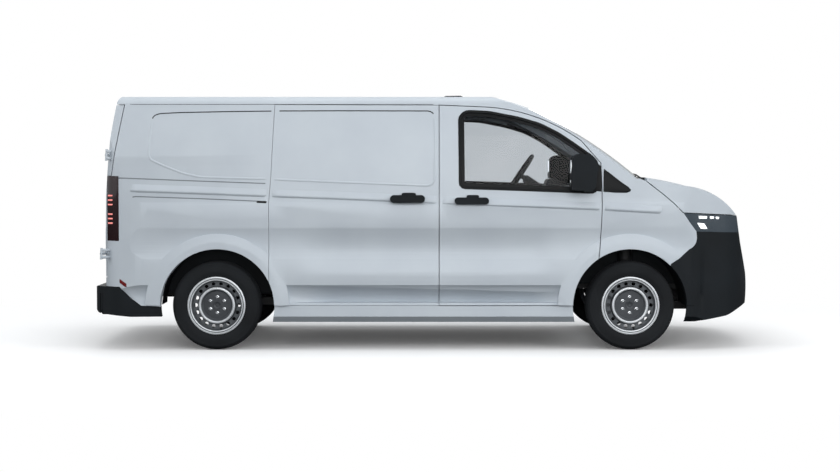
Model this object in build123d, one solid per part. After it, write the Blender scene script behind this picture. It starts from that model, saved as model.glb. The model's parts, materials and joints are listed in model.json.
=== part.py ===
"""A panel van: steel load body, sliding side door, two rear wing doors and a short bonnet.

The van stands on its wheels and faces +X, with +Y to its left and +Z up. The origin lies on the
ground, midway between the front bumper and the rear step. All lengths are millimetres.
"""
import os
from math import sqrt

from build123d import *

# Overall
overall_length = 5020.0
wheelbase = 3100.0
rear_overhang = 951.0
nose_x = overall_length / 2
tail_x = -overall_length / 2
rear_axle_x = tail_x + rear_overhang
front_axle_x = rear_axle_x + wheelbase

# Gaps
seam_gap = 6.0
seat_gap = 0.3

# Cross-section: half widths and heights
sill_bottom_z = 208.0
sill_bottom_half = 935.0
sill_edge_z = 253.0
sill_half = 985.0
door_bottom_z = 335.0
undercut_z = 405.0
undercut_half = 962.0
lower_side_z = 490.0
lower_side_half = 1003.0
bulge_half = 1008.0
hollow_z = 800.0
hollow_half = 990.0
hollow_span = 115.0
waist_z = 1085.0
waist_half = 1012.0
shoulder_step = 11.0
shoulder_drop = 27.0
mid_window_z = 1480.0
mid_window_half = 957.0
roof_joint_z = 1840.0
roof_joint_half = 868.0
roof_edge_half = 762.0
roof_edge_z = 1897.0
crown_z = 1912.0

# Side profile of the front, on the centre line
form_axis_x = -2300.0
nose_bottom_x = 2385.0
nose_bottom_z = 262.0
bumper_low_z = 330.0
bumper_high_z = 560.0
grille_foot_x = 2458.0
grille_foot_z = 800.0
bonnet_lip_x = 2430.0
bonnet_lip_z = 1000.0
bonnet_front_x = 2318.0
bonnet_front_z = 1122.0
bonnet_mid_x = 2060.0
bonnet_mid_z = 1222.0
bonnet_rear_x = 1745.0
bonnet_rear_z = 1288.0
screen_base_x = 1690.0
screen_base_z = 1281.0
screen_mid_x = 1325.0
screen_mid_z = 1557.0
screen_top_x = 845.0
screen_top_z = 1825.0

# Plan: corners
full_width_front_x = 1720.0
full_width_rear_x = -1750.0
widest_half = 1018.0

# Tail profile
tail_top_x = -2312.0
tail_mid_x = -2372.0
tail_mid_z = 1400.0
tail_bulge_x = -2396.0
tail_bulge_z = 1150.0
tail_foot_x = -2402.0

# Wall thicknesses
wall = 50.0
front_wall = 30.0
frame_wall = 60.0
glass_thickness = 5.0
glass_inset = 14.0

# Wheels
tyre_radius = 333.0
tyre_width = 215.0
track = 1740.0
bead_radius = 203.0
flange_radius = 217.0
rim_half_width = 95.0
well_radius = 184.0
rim_sheet = 8.0
crown_radius = 130.0
vent_count = 18
vent_radius = 14.0
vent_circle = 161.0
hub_bore_radius = 30.3
stub_radius = 30.0
disc_radius = 150.0

# Arches
arch_radius = 426.0
front_arch_shift = -8.0
rear_arch_shift = 10.0
flare_outer_radius = 538.0
flare_inner_radius = 474.0
liner_sheet = 6.0
flare_base_half = 955.0

# Seams along the side
centre_seam_x = 108.0
slide_seam_x = -1148.0
slide_seam_top_x = -1126.0
door_front_top_x = 1313.0
door_front_mid_x = 1322.0
door_front_low_x = 1298.0
door_corner_z = 1400.0
pillar_foot_x = 1654.0
pillar_foot_z = 1264.0

# Floor and frame
floor_z = 530.0
floor_sheet = 30.0
rail_bottom_z = 430.0
rail_inner = 430.0
rail_outer = 510.0
tow_bolt_x = -2110.0
tow_bolt_z = 490.0
tow_bolt_pitch = 70.0
tow_bolt_radius = 6.5
tow_eye_x = 2350.0
tow_eye_y = -450.0
tow_eye_z = 467.0
tow_eye_radius = 9.0
tow_eye_depth = 60.0

# Kingpin and suspension
kingpin_inset = 40.0
kingpin_reach = 110.0
post_radius = 22.0

# Openings, laps and smaller places
frame_lap = 60.0
frame_rear_x = -2230.0
frame_front_x = 1288.0
swing_relief_x = 700.0
swing_relief_z = 1370.0
screen_base_half = 842.0
screen_top_half = 745.0
screen_drop = 9.0
grille_half = 535.0
grille_low_z = 800.0
grille_margin = 42.0
grille_pitch = 46.0
grille_slot = 30.0
grille_rows = 3
intake_half = 560.0
intake_low_z = 335.0
intake_pitch = 56.0
intake_slot = 40.0
intake_rows = 4
slam_x = 2330.0
rear_door_low_z = 545.0
lamp_inner_half = 896.0
lamp_low_z = 818.0
lamp_high_z = 1303.0
lamp_front_x = -2286.0
rear_seam_top_x = -2252.0
rear_seam_low_x = -2343.0
rear_opening_half = 770.0
rear_opening_low_z = 575.0
rear_frame_low_z = 480.0
hinge_half = 952.0
wrap_relief = 174.0
liner_inner_half = 554.0
rear_house_half = 634.0
toe_x = 1240.0
bulkhead_x = -60.0
strut_y = -625.0
stub_out = 36.0
exhaust_y = 330.0
dash_x = 985.0
wheel_side_y = 385.0
hand_radius = 185.0
mirror_inner_half = 1000.0
mirror_reach = 1137.0
handle_reach = 1042.0

side_reach = 1400.0


def outline(start, *legs):
    """A closed flat face: each leg is an end point, or a middle and an end point for an arc."""
    edges = []
    here = start
    for leg in legs:
        if isinstance(leg[0], tuple):
            edges.append(ThreePointArc(here, leg[0], leg[1]))
            here = leg[1]
        else:
            edges.append(Line(here, leg))
            here = leg
    if here != start:
        edges.append(Line(here, start))
    return make_face(edges)


def right_prism(face, inner=300.0):
    """Carries a side-view face from a distance inside the right-hand side outwards."""
    return extrude(Plane.XZ.offset(inner) * face, side_reach - inner)


def wide_prism(face):
    """Carries a side-view face across the whole width."""
    return extrude(Plane.XZ * face, side_reach, both=True)


def front_prism(face, start_x, end_x):
    """Carries a front-view face along the van."""
    return extrude(Plane.YZ.offset(start_x) * face, end_x - start_x)


def block(x_low, x_high, y_low, y_high, z_low, z_high):
    """A box between two corners."""
    size = (x_high - x_low, y_high - y_low, z_high - z_low)
    centre = ((x_low + x_high) / 2, (y_low + y_high) / 2, (z_low + z_high) / 2)
    return Pos(*centre) * Box(*size)


def cross_tube(x, z, radius, y_low, y_high):
    """A round bar lying across the van."""
    middle = (y_low + y_high) / 2
    return Pos(x, middle, z) * Rot(90, 0, 0) * Cylinder(radius, y_high - y_low)


def left_of(part):
    """The mirror image of a right-hand piece."""
    return mirror(part, about=Plane.XZ)


def section_face(inset, base_z):
    """The body's cross-section, set in by a wall's thickness."""
    lower = lower_side_half - inset
    shoulder_z = waist_z + shoulder_drop
    shoulder = waist_half - shoulder_step - inset
    joint = (roof_joint_half - inset, roof_joint_z - inset)
    edge = (roof_edge_half - inset, roof_edge_z - inset)
    knee = (roof_joint_half - inset - 27, roof_joint_z + 39 - inset)
    right = [
        Line((sill_bottom_half - inset, base_z), (sill_half - inset, sill_edge_z)),
        Line((sill_half - inset, sill_edge_z), (sill_half - inset, door_bottom_z)),
        ThreePointArc((sill_half - inset, door_bottom_z), (undercut_half - inset, undercut_z), (lower, lower_side_z)),
        ThreePointArc((lower, lower_side_z), (bulge_half - inset, 590), (lower, hollow_z - hollow_span)),
        ThreePointArc((lower, hollow_z - hollow_span), (hollow_half - inset, hollow_z), (lower, hollow_z + hollow_span)),
        Line((lower, hollow_z + hollow_span), (waist_half - inset, waist_z)),
        Line((waist_half - inset, waist_z), (shoulder, shoulder_z)),
        ThreePointArc((shoulder, shoulder_z), (mid_window_half - inset, mid_window_z), joint),
        ThreePointArc(joint, knee, edge),
    ]
    left = [mirror(edge_line, about=Plane.YZ) for edge_line in right]
    crown = ThreePointArc(edge, (0, crown_z - inset), (-edge[0], edge[1]))
    base = Line((sill_bottom_half - inset, base_z), (inset - sill_bottom_half, base_z))
    return make_face([*right, crown, *left, base])


def front_face():
    """Half of the front's side profile, from the form's axis to the nose, for turning."""
    return outline(
        (form_axis_x, 100),
        (nose_bottom_x - 400, 100),
        (nose_bottom_x, nose_bottom_z),
        (nose_x - 8, bumper_low_z),
        ((nose_x, (bumper_low_z + bumper_high_z) / 2), (nose_x - 6, bumper_high_z)),
        (grille_foot_x, grille_foot_z),
        (bonnet_lip_x, bonnet_lip_z),
        ((bonnet_front_x, bonnet_front_z), (bonnet_mid_x, bonnet_mid_z)),
        ((1905, 1260), (bonnet_rear_x, bonnet_rear_z)),
        (screen_base_x, screen_base_z),
        ((screen_mid_x, screen_mid_z), (screen_top_x, screen_top_z)),
        ((560, 1914), (250, 1975)),
        (form_axis_x, 1975),
    )


def plan_face(inset):
    """The plan: straight sides, with corners rounded at the nose and at the tail."""
    half = widest_half - inset
    front = nose_x + 30 - inset
    rear = tail_foot_x - 22 + inset
    right = [
        ThreePointArc((front, 0), (front - 14, 260), (front - 46, 520)),
        ThreePointArc((front - 46, 520), (front - 120, 720 - inset * 0.3), (2290 - inset * 0.7, 865 - inset * 0.7)),
        ThreePointArc((2290 - inset * 0.7, 865 - inset * 0.7), (2060, 972 - inset), (full_width_front_x, half)),
        Line((full_width_front_x, half), (full_width_rear_x, half)),
        ThreePointArc((full_width_rear_x, half), (-2080, 1008 - inset), (-2290 + inset * 0.5, 972 - inset)),
        ThreePointArc((-2290 + inset * 0.5, 972 - inset), (-2378 + inset * 0.8, 905 - inset * 0.7), (rear + 12, 740)),
        ThreePointArc((rear + 12, 740), (rear + 3, 370), (rear, 0)),
    ]
    left = [mirror(edge_line, about=Plane.XZ) for edge_line in right]
    return make_face([*right, *left])


def tail_face():
    """The side profile of the tail, leaning forward to the roof."""
    return outline(
        (tail_foot_x, 100),
        (tail_foot_x, 900),
        (tail_bulge_x, tail_bulge_z),
        ((tail_mid_x, tail_mid_z), (tail_top_x, roof_joint_z)),
        ((tail_top_x + 14, roof_edge_z - 16), (tail_top_x + 52, crown_z + 2)),
        (tail_top_x + 400, crown_z + 60),
        (3000, crown_z + 60),
        (3000, 100),
    )


def body_form(inset):
    """The whole body as one solid, its walls set in by the inset."""
    base_z = sill_bottom_z if inset == 0 else 120
    section = front_prism(section_face(inset, base_z), -2800, 2800)
    front = revolve(Plane.XZ * front_face(), Axis((form_axis_x, 0, 0), (0, 0, 1)))
    plan = extrude(plan_face(inset), 2300)
    tail = wide_prism(tail_face())
    return section & (Pos(-inset, 0, -inset) * front) & plan & (Pos(inset, 0, 0) * tail)


def arch_x(axle_x):
    """The arch's centre lies a little off the axle."""
    return axle_x + (front_arch_shift if axle_x > 0 else rear_arch_shift)


def flare(axle_x):
    """The raised lip round a right-hand wheel arch."""
    depth = flare_outer_radius - flare_inner_radius
    base = cross_tube(arch_x(axle_x), tyre_radius, flare_outer_radius, -waist_half + 8, -flare_base_half)
    lip_face = Plane.XZ.offset(waist_half - 8) * Pos(arch_x(axle_x), tyre_radius) * Circle(flare_outer_radius)
    lip = loft([lip_face, Plane.XZ.offset(widest_half) * Pos(arch_x(axle_x), tyre_radius) * Circle(flare_inner_radius)])
    above_sill = block(axle_x - 700, axle_x + 700, -1100, -900, door_bottom_z + seam_gap / 2, 900)
    return (base + lip) & above_sill if depth > 0 else base & above_sill


def arch_hole(axle_x, radius, inner=555.0):
    """The round hole of one right-hand arch."""
    return cross_tube(arch_x(axle_x), tyre_radius, radius, -side_reach, -inner)


outer = body_form(0)
wall_in = body_form(wall)
front_in = body_form(front_wall)
frame_out = body_form(wall + seat_gap)
frame_in = body_form(wall + frame_wall)
room = body_form(wall + frame_wall + seat_gap)

flares = flare(front_axle_x) + flare(rear_axle_x)
flares = flares & extrude(plan_face(0), 2300)
arches = arch_hole(front_axle_x, arch_radius) + arch_hole(rear_axle_x, arch_radius)
skin = outer + flares + left_of(flares)
skin = skin - arches - left_of(arches)
wall_shell = skin - wall_in
front_shell = skin - front_in

# Seam curves seen from the side


def front_door_face():
    """The front door's outline: it runs down to the sill and round into the wheel arch."""
    return outline(
        (centre_seam_x, door_bottom_z),
        (centre_seam_x, 1835),
        (417, 1822),
        ((870, 1731), (1171, 1566)),
        (door_front_top_x, door_corner_z),
        ((door_front_mid_x, 1124), (door_front_low_x, 690)),
        (door_front_low_x, door_bottom_z),
    )


def sliding_door_face():
    """The sliding door's outline, between the centre seam and the rear quarter."""
    return outline(
        (centre_seam_x, door_bottom_z),
        (centre_seam_x, 1835),
        (slide_seam_top_x, roof_joint_z),
        (slide_seam_x, 1300),
        (slide_seam_x - 16, 1100),
        (slide_seam_x - 16, door_bottom_z),
    )


def quarter_face():
    """The rear quarter: from the sliding door's seam back to the rear doors and the lamp."""
    return outline(
        (slide_seam_top_x, roof_joint_z),
        (slide_seam_x, 1300),
        (slide_seam_x - 16, 1100),
        (slide_seam_x - 16, door_bottom_z),
        (-1900, door_bottom_z),
        (-1900, 646),
        (-2100, 690),
        (-2284, 774),
        (-2284, 1306),
        (-2343, 1306),
        (-2252, roof_joint_z),
    )


def above_joint_face():
    """Everything above the joint between the sides and the roof, pillars included."""
    return outline(
        (-2600, roof_joint_z),
        (slide_seam_top_x, roof_joint_z),
        (centre_seam_x, 1835),
        (417, 1822),
        ((870, 1731), (1171, 1566)),
        (door_front_top_x, door_corner_z),
        (pillar_foot_x, pillar_foot_z),
        (pillar_foot_x, 2100),
        (-2600, 2100),
    )


def wing_face():
    """The front wing, between the door, the bonnet, the lamp, the bumper and the arch."""
    return outline(
        (door_front_top_x, door_corner_z),
        ((door_front_mid_x, 1124), (door_front_low_x, 690)),
        (door_front_low_x, 560),
        (1834, 560),
        (1834, 648),
        (1901, 692),
        (1976, 759),
        ((2022, 800), (2032, 850)),
        (2028, 890),
        (1975, 960),
        (1926, 1030),
        (1850, 1106),
        (1774, 1170),
        (pillar_foot_x, pillar_foot_z),
    )


def bonnet_face():
    """The bonnet: above the wing's seam and the head lamps."""
    return outline(
        (pillar_foot_x - 60, pillar_foot_z + 46),
        (pillar_foot_x, pillar_foot_z),
        (1774, 1170),
        (1850, 1106),
        (1926, 1030),
        (2700, 988),
        (2700, 1500),
        (pillar_foot_x - 60, 1500),
    )


def lamp_face():
    """The head lamp seen from the side."""
    return outline((1926, 1030), (1975, 960), (2028, 890), (2700, 862), (2700, 988))


def bumper_face():
    """The front bumper: from the wing's tip and the lamps down to the air dam."""
    return outline(
        (1834, 648),
        (1901, 692),
        (1976, 759),
        ((2022, 800), (2032, 850)),
        (2028, 890),
        (2700, 862),
        (2700, 270),
        (2350, 262),
        (2060, 219),
        (1965, 201),
        (1834, 201),
    )


def rear_bumper_face():
    """The body-coloured corner and beam under the rear doors and the lamps."""
    return outline(
        (-1900, 646),
        (-2100, 690),
        (-2284, 774),
        (-2284, 818),
        (-2700, 818),
        (-2700, 476),
        (-2284, 476),
        (-2195, 387),
        (-2120, 335),
        (-1850, 320),
        (-1900, 500),
    )


def window_face():
    """The opening for the front door's window."""
    return outline(
        (270, 1222),
        (266, 1745),
        ((278, 1776), (310, 1783)),
        (480, 1776),
        ((860, 1686), (1110, 1540)),
        (1262, 1432),
        (1276, 1186),
        (700, 1208),
    )


def grown(face, amount):
    """A face with its outline moved outwards, or inwards for a negative amount."""
    return offset(face, amount, kind=Kind.INTERSECTION)


def shaved(face):
    """A face set in by half a seam, for a panel that opens."""
    return grown(face, -seam_gap / 2)


def turned(radius):
    """A tall cylinder about the axis that the front's form is turned about."""
    return Pos(form_axis_x, 0, 1100) * Cylinder(radius, 2200)


def largest(part):
    """The biggest solid of a cut, without the slivers beside it."""
    return max(part.solids(), key=lambda item: item.volume)


def panel_right(shell, face, inner=780.0):
    """The part of a shell that lies inside a side-view face on the right."""
    return shell & right_prism(face, inner)


parts = {}

# Front doors, with their windows
door_face = front_door_face()
half_gap = seam_gap / 2
window = window_face()
door_right = panel_right(wall_shell, shaved(door_face)) - right_prism(window)
glass_form = body_form(glass_inset)
door_glass = (glass_form & right_prism(window, 780)) - Pos(0, glass_thickness, 0) * glass_form

# Sliding door
slide_right = panel_right(wall_shell, shaved(sliding_door_face()))

# Side frames: the whole wall, rebated for the doors and open inside them
side_shell = skin - frame_in
side_face = outline(
    (-2343, lamp_high_z),
    (-2284, lamp_high_z),
    (-2284, 774),
    (-2100, 690),
    (-1900, 646),
    (-1900, 500),
    (-1250, 500),
    (-1250, sill_bottom_z - 10),
    (1250, sill_bottom_z - 10),
    (1250, door_bottom_z - half_gap),
    (frame_front_x, door_bottom_z - half_gap),
    (frame_front_x, 1345),
    (1165, 1500),
    ((870, 1690), (417, 1782)),
    (centre_seam_x, 1795),
    (slide_seam_top_x, 1800),
    (slide_seam_top_x, roof_joint_z),
    (-2252, roof_joint_z),
)
front_ring = Pos(arch_x(front_axle_x), tyre_radius) * Circle(arch_radius + frame_lap)
rear_ring = Pos(arch_x(rear_axle_x), tyre_radius) * Circle(arch_radius + frame_lap)
front_opening = grown(door_face, -frame_lap) - front_ring
slide_opening = grown(sliding_door_face(), -frame_lap) - rear_ring
door_rebate = right_prism(grown(door_face, half_gap), 700) - frame_out
slide_rebate = right_prism(sliding_door_face(), 700) - frame_out
rear_pocket = block(-2700, frame_rear_x, -1100, -500, 0, 2000) & frame_out
pillar_relief = block(swing_relief_x, frame_front_x + 10, -1100, -500, swing_relief_z, crown_z)
side_wall = panel_right(side_shell, side_face, 700) - rear_pocket - pillar_relief
body_left = side_wall - door_rebate - right_prism(front_opening, 600)
body_right = body_left - slide_rebate - right_prism(slide_opening, 600)

# Roof with the windscreen pillars
screen_face = outline(
    (-screen_base_half, 1150),
    (screen_base_half, 1150),
    (screen_top_half, screen_top_z - 12),
    (-screen_top_half, screen_top_z - 12),
)
screen_cut = front_prism(screen_face, 600, 2600) & turned(screen_base_x - form_axis_x)
cowl_block = block(1400, 2700, -screen_base_half, screen_base_half, 1150, 2000)
cowl_cut = cowl_block - turned(screen_base_x - form_axis_x)
roof = wall_shell & wide_prism(above_joint_face() - grown(door_face, half_gap))
roof = largest(roof - screen_cut - cowl_cut)
thin_screen = outer - Pos(-2, 0, -screen_drop) * outer
screen = thin_screen & screen_cut
scuttle = front_shell & cowl_cut & turned(bonnet_rear_x - form_axis_x - seam_gap / 2)
scuttle = scuttle & block(1400, 2700, -screen_base_half, screen_base_half, 1225, 2000)

# Bonnet and front wings
bonnet_clear = grown(bonnet_face(), half_gap)
bonnet_block = block(pillar_foot_x + seam_gap / 2, 2700, -1100, 1100, 900, 1400)
bonnet = front_shell & wide_prism(shaved(bonnet_face())) & bonnet_block
bonnet = bonnet - turned(bonnet_rear_x - form_axis_x + seam_gap / 2)
wing_outline = wing_face() - grown(door_face, half_gap) - bonnet_clear
wing_right = largest(panel_right(front_shell, wing_outline, screen_base_half + 4))

# Lamps, grille and front bumper
grille_space = block(2150, 2700, -grille_half, grille_half, grille_low_z, 1100)
lamp_right = largest(side_shell & right_prism(lamp_face() - bonnet_clear, grille_half))
bumper = (front_shell & wide_prism(bumper_face())) - grille_space
for row in range(intake_rows):
    slot_z = intake_low_z + row * intake_pitch
    bumper = bumper - block(2300, 2600, -intake_half, intake_half, slot_z, slot_z + intake_slot)
grille_side = outline((2150, grille_low_z), (2700, grille_low_z), (2700, 1100), (2150, 1100)) - bonnet_clear
grille = front_shell & extrude(Plane.XZ * grille_side, grille_half, both=True)
for row in range(grille_rows):
    slot_z = grille_low_z + grille_margin + row * grille_pitch
    slot_half = grille_half - grille_margin
    grille = grille - block(2200, 2700, -slot_half, slot_half, slot_z, slot_z + grille_slot)
slam_face = block(slam_x - 40, slam_x, -grille_half + 60, grille_half - 60, 860, 1200)
slam_panel = slam_face & body_form(front_wall + seat_gap)
slam_panel = slam_panel - left_of(right_prism(lamp_face(), grille_half)) - right_prism(lamp_face(), grille_half)

# Rear doors, lamps and bumper
hinge_low = Vector(-2420, -hinge_half, 722)
hinge_high = Vector(-2376, -hinge_half, 1460)
hinge_axis = Axis((hinge_low.X, hinge_low.Y, hinge_low.Z), tuple(hinge_high - hinge_low))
hinge_plane = Plane(origin=hinge_low, z_dir=hinge_high - hinge_low, x_dir=(0, -1, 0))


def rear_door_outline(gap):
    """The right-hand rear door from behind, wider above the lamp where it wraps the corner."""
    return outline(
        (-gap, rear_door_low_z - 3 + gap),
        (-lamp_inner_half + gap, rear_door_low_z - 3 + gap),
        (-lamp_inner_half + gap, lamp_high_z + gap),
        (-1100, lamp_high_z + gap),
        (-1100, roof_joint_z - 3 - gap),
        (-gap, roof_joint_z - 3 - gap),
    )


def behind_seam(gap):
    """What lies behind the rear doors' seam in the side view."""
    return outline(
        (rear_seam_top_x - gap, roof_joint_z + 60),
        (rear_seam_top_x - gap, roof_joint_z),
        (rear_seam_low_x - gap, lamp_high_z),
        (rear_seam_low_x - gap, 400),
        (-2700, 400),
        (-2700, roof_joint_z + 60),
    )


rear_right = wall_shell & wide_prism(behind_seam(half_gap))
rear_right = rear_right & front_prism(rear_door_outline(half_gap), -2700, -2200)
rear_clear = front_prism(rear_door_outline(-half_gap), -2700, -2200) & wide_prism(behind_seam(-half_gap))
both_rear_clear = rear_clear + left_of(rear_clear)
lamp_block = block(-2700, lamp_front_x, -1100, -lamp_inner_half, lamp_low_z, lamp_high_z)
tail_lamp = wall_shell & lamp_block
body_right = body_right - rear_clear
body_left = body_left - rear_clear
rear_opening = block(-2700, -2100, -rear_opening_half, rear_opening_half, rear_opening_low_z, 1765)
relief = hinge_plane * Pos(0, 0, 860) * Cylinder(wrap_relief, 800)
frame_ring = frame_out & block(-2700, frame_rear_x, -1100, 1100, rear_frame_low_z, crown_z)
inner_tail = Pos(wall + frame_wall, 0, 0) * wide_prism(tail_face())
frame_hollow = block(-2400, frame_rear_x + 1, -870, 870, 400, 1780) & inner_tail
corner_relief = block(-2700, frame_rear_x - 20, -840, -rear_opening_half + 5, 1800, crown_z)
reliefs = relief + corner_relief
rear_frame = frame_ring - frame_hollow - rear_opening - reliefs - left_of(reliefs)
rear_bumper = (wall_shell & wide_prism(rear_bumper_face())) - both_rear_clear
step_profile = outline(
    (-1850, 253),
    (-1850, 320),
    (-2120, 335),
    (-2195, 387),
    (-2284, 476),
    (-2440, 476),
    ((-2492, 462), (tail_x, 410)),
    (tail_x + 6, 340),
    ((-2488, 300), (-2420, 272)),
    (-2200, 250),
)
step_plan = outline(
    (-1800, -985),
    (-2250, -985),
    ((-2420, -925), (-2488, -740)),
    ((tail_x, 0), (-2488, 740)),
    ((-2420, 925), (-2250, 985)),
    (-1800, 985),
)
step = wide_prism(step_profile) & extrude(step_plan, 900)
step = step - block(-2440, -1700, -930, 930, 100, 425) - block(-2320, -1700, -930, 930, 100, 700)
step = step - arches - left_of(arches)

# Wheel houses
front_house = arch_hole(front_axle_x, arch_radius + liner_sheet, liner_inner_half)
front_space = arch_hole(front_axle_x, arch_radius, liner_inner_half + liner_sheet)
front_tube = (front_house - front_space) - block(0, 2400, -liner_inner_half - 7, 0, 0, 470)
front_tube = front_tube & front_in & block(900, 2200, -1100, 0, door_bottom_z, 1000)
front_liner = front_tube - (block(900, door_front_mid_x, -1100, 0, 200, 1000) - room)
rear_house = arch_hole(rear_axle_x, arch_radius + liner_sheet, rear_house_half)
rear_space = arch_hole(rear_axle_x, arch_radius, rear_house_half + liner_sheet)
rear_tube = (rear_house - rear_space) & room & block(-2200, -900, -1100, 0, door_bottom_z, 1000)
rear_liner = rear_tube - block(-2200, -900, -rear_house_half - 7, 0, 0, 400)

# Floor, toe board and bulkhead
holes = arch_hole(front_axle_x, arch_radius + liner_sheet + seat_gap, liner_inner_half - seat_gap)
holes = holes + arch_hole(rear_axle_x, arch_radius + liner_sheet + seat_gap, rear_house_half - seat_gap)
holes = holes + left_of(holes)
floor_slab = block(-2290, toe_x + 20, -1000, 1000, floor_z, floor_z + floor_sheet)
toe_board = block(toe_x, toe_x + 20, -1000, 1000, floor_z, 1240)
floor_pan = ((floor_slab + toe_board) & room) - holes
bulkhead = room & block(bulkhead_x - 20, bulkhead_x, -1000, 1000, floor_z + floor_sheet, 1900)

# Chassis: two rails, cross members, subframe, axles
rail = block(-2290, 2330, -rail_outer, -rail_inner, rail_bottom_z, floor_z)
chassis = rail + left_of(rail)
for beam_x in (-2250, -900, 250, 2290):
    chassis = chassis + block(beam_x, beam_x + 60, -rail_outer, rail_outer, rail_bottom_z, rail_bottom_z + 70)
chassis = chassis + block(2290, tow_eye_x, -700, 700, rail_bottom_z, rail_bottom_z + 70)
for bolt_x in (tow_bolt_x - tow_bolt_pitch / 2, tow_bolt_x + tow_bolt_pitch / 2):
    chassis = chassis - cross_tube(bolt_x, tow_bolt_z, tow_bolt_radius, -rail_outer - 10, rail_outer + 10)
tow_eye = Pos(tow_eye_x - tow_eye_depth / 2, tow_eye_y, tow_eye_z) * Rot(0, 90, 0)
chassis = chassis - tow_eye * Cylinder(tow_eye_radius, tow_eye_depth)
subframe = block(1350, 2130, -rail_outer, rail_outer, 270, 330) - block(1440, 2040, -330, 330, 200, 400)
for post_x in (1360, 2050):
    post = block(post_x, post_x + 70, -rail_outer, -rail_inner, 330, rail_bottom_z)
    subframe = subframe + post + left_of(post)

kingpin_y = -(track / 2 - kingpin_inset)
hub_z = tyre_radius


def arm(z_low, z_high, root_x, root_y):
    """A wishbone: a flat triangle from two inner pivots to the ball joint at the kingpin."""
    pad = Pos(front_axle_x, kingpin_y) * Circle(post_radius)
    blade = make_face(Polyline(
        (front_axle_x - root_x, root_y),
        (front_axle_x - 18, kingpin_y),
        (front_axle_x + 18, kingpin_y),
        (front_axle_x + root_x, root_y),
        close=True,
    ))
    return extrude(Plane.XY.offset(z_low) * (pad + blade), z_high - z_low)


low_arm_top = hub_z - kingpin_reach - seat_gap
high_arm_low = hub_z + kingpin_reach + seat_gap
lower_arm = arm(low_arm_top - 30, low_arm_top, 150, -300) & block(0, 3000, -1000, -300, 0, 1000)
upper_arm = arm(high_arm_low, high_arm_low + 24, 90, -rail_outer + 1)
arm_drop = block(1390, 1690, -rail_outer, -rail_inner, low_arm_top - 1, 271)
tower_z = tyre_radius + sqrt(arch_radius**2 - 70**2) - seat_gap - 4
strut = Pos(front_axle_x, strut_y, low_arm_top - 5) * Cylinder(26, 260, align=(Align.CENTER, Align.CENTER, Align.MIN))
strut = strut + Pos(front_axle_x, strut_y, 440) * Cylinder(52, tower_z - 440, align=(Align.CENTER, Align.CENTER, Align.MIN))
right_side = lower_arm + arm_drop + strut
right_side = right_side + (upper_arm - strut)
suspension = subframe + right_side + left_of(right_side)
suspension = suspension - chassis

post = Pos(front_axle_x, kingpin_y, hub_z) * Cylinder(post_radius, 2 * kingpin_reach)
stub_end = -(track / 2 + stub_out)
front_stub = cross_tube(front_axle_x, hub_z, stub_radius, stub_end, kingpin_y)
caliper = block(-60, 52, -(track / 2 + 22), -(track / 2 - 46), -70, 70)
caliper = Pos(front_axle_x - 128, 0, hub_z) * caliper
caliper = caliper & cross_tube(front_axle_x, hub_z, well_radius - rim_sheet - 8, -1000, -800)
disc_room = cross_tube(front_axle_x, hub_z, disc_radius + 5, -(track / 2 + 17), -(track / 2 - 19))
caliper = caliper - disc_room
carrier = block(front_axle_x - 110, front_axle_x, -(track / 2 - 30), -(track / 2 - 46), hub_z - 26, hub_z + 26)
knuckle = post + front_stub + caliper + carrier

beam_half = track / 2 - 34
axle = cross_tube(rear_axle_x, hub_z, 38, -beam_half, beam_half)
axle = axle + cross_tube(rear_axle_x, hub_z, stub_radius, stub_end, -stub_end)
spring = Pos(rear_axle_x, -470, hub_z + 20) * Cylinder(50, rail_bottom_z - hub_z - 20, align=(Align.CENTER, Align.CENTER, Align.MIN))
trail = block(rear_axle_x, rear_axle_x + 560, -rail_outer, -rail_inner - 20, hub_z - 30, hub_z + 30)
hanger = block(rear_axle_x + 500, rear_axle_x + 560, -rail_outer, -rail_inner - 20, hub_z, rail_bottom_z)
rear_side = spring + trail + hanger
rear_axle = axle + rear_side + left_of(rear_side)

# Wheels: pressed steel rims, tyres
rim_profile = make_face(Polyline(
    (flange_radius, -rim_half_width),
    (flange_radius, -rim_half_width + 8),
    (bead_radius, -rim_half_width + 12),
    (bead_radius, -52),
    (well_radius, -40),
    (well_radius, 30),
    (bead_radius, 46),
    (bead_radius, rim_half_width - 12),
    (flange_radius, rim_half_width - 8),
    (flange_radius, rim_half_width),
    (bead_radius - rim_sheet, rim_half_width),
    (bead_radius - rim_sheet, 50),
    (well_radius - rim_sheet, 34),
    (well_radius - rim_sheet, -44),
    (bead_radius - rim_sheet, -56),
    (bead_radius - rim_sheet, -rim_half_width),
    close=True,
))
disc_profile = make_face(Polyline(
    (well_radius - 4, 30),
    (well_radius - 4, 40),
    (146, 40),
    (138, 72),
    (crown_radius, 78),
    (119, 72),
    (104, 46),
    (hub_bore_radius, 46),
    (hub_bore_radius, -18),
    (64, -18),
    (64, -14),
    (disc_radius, -14),
    (disc_radius, 12),
    (70, 12),
    (70, 36),
    (108, 36),
    (126, 64),
    (130, 66),
    (136, 30),
    close=True,
))
wheel_axis = Axis((0, 0, 0), (0, 1, 0))
hub_bowl = revolve(Plane((0, 0, 0), x_dir=(1, 0, 0), z_dir=(0, 0, 1)) * disc_profile, wheel_axis)
rim = revolve(Plane.XY * rim_profile, wheel_axis) + hub_bowl
vent = Pos(vent_circle, 40, 0) * Rot(90, 0, 0) * Cylinder(vent_radius, 40)
for index in range(vent_count):
    rim = rim - Rot(0, 360 / vent_count * index, 0) * vent
tyre_half = tyre_width / 2
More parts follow.
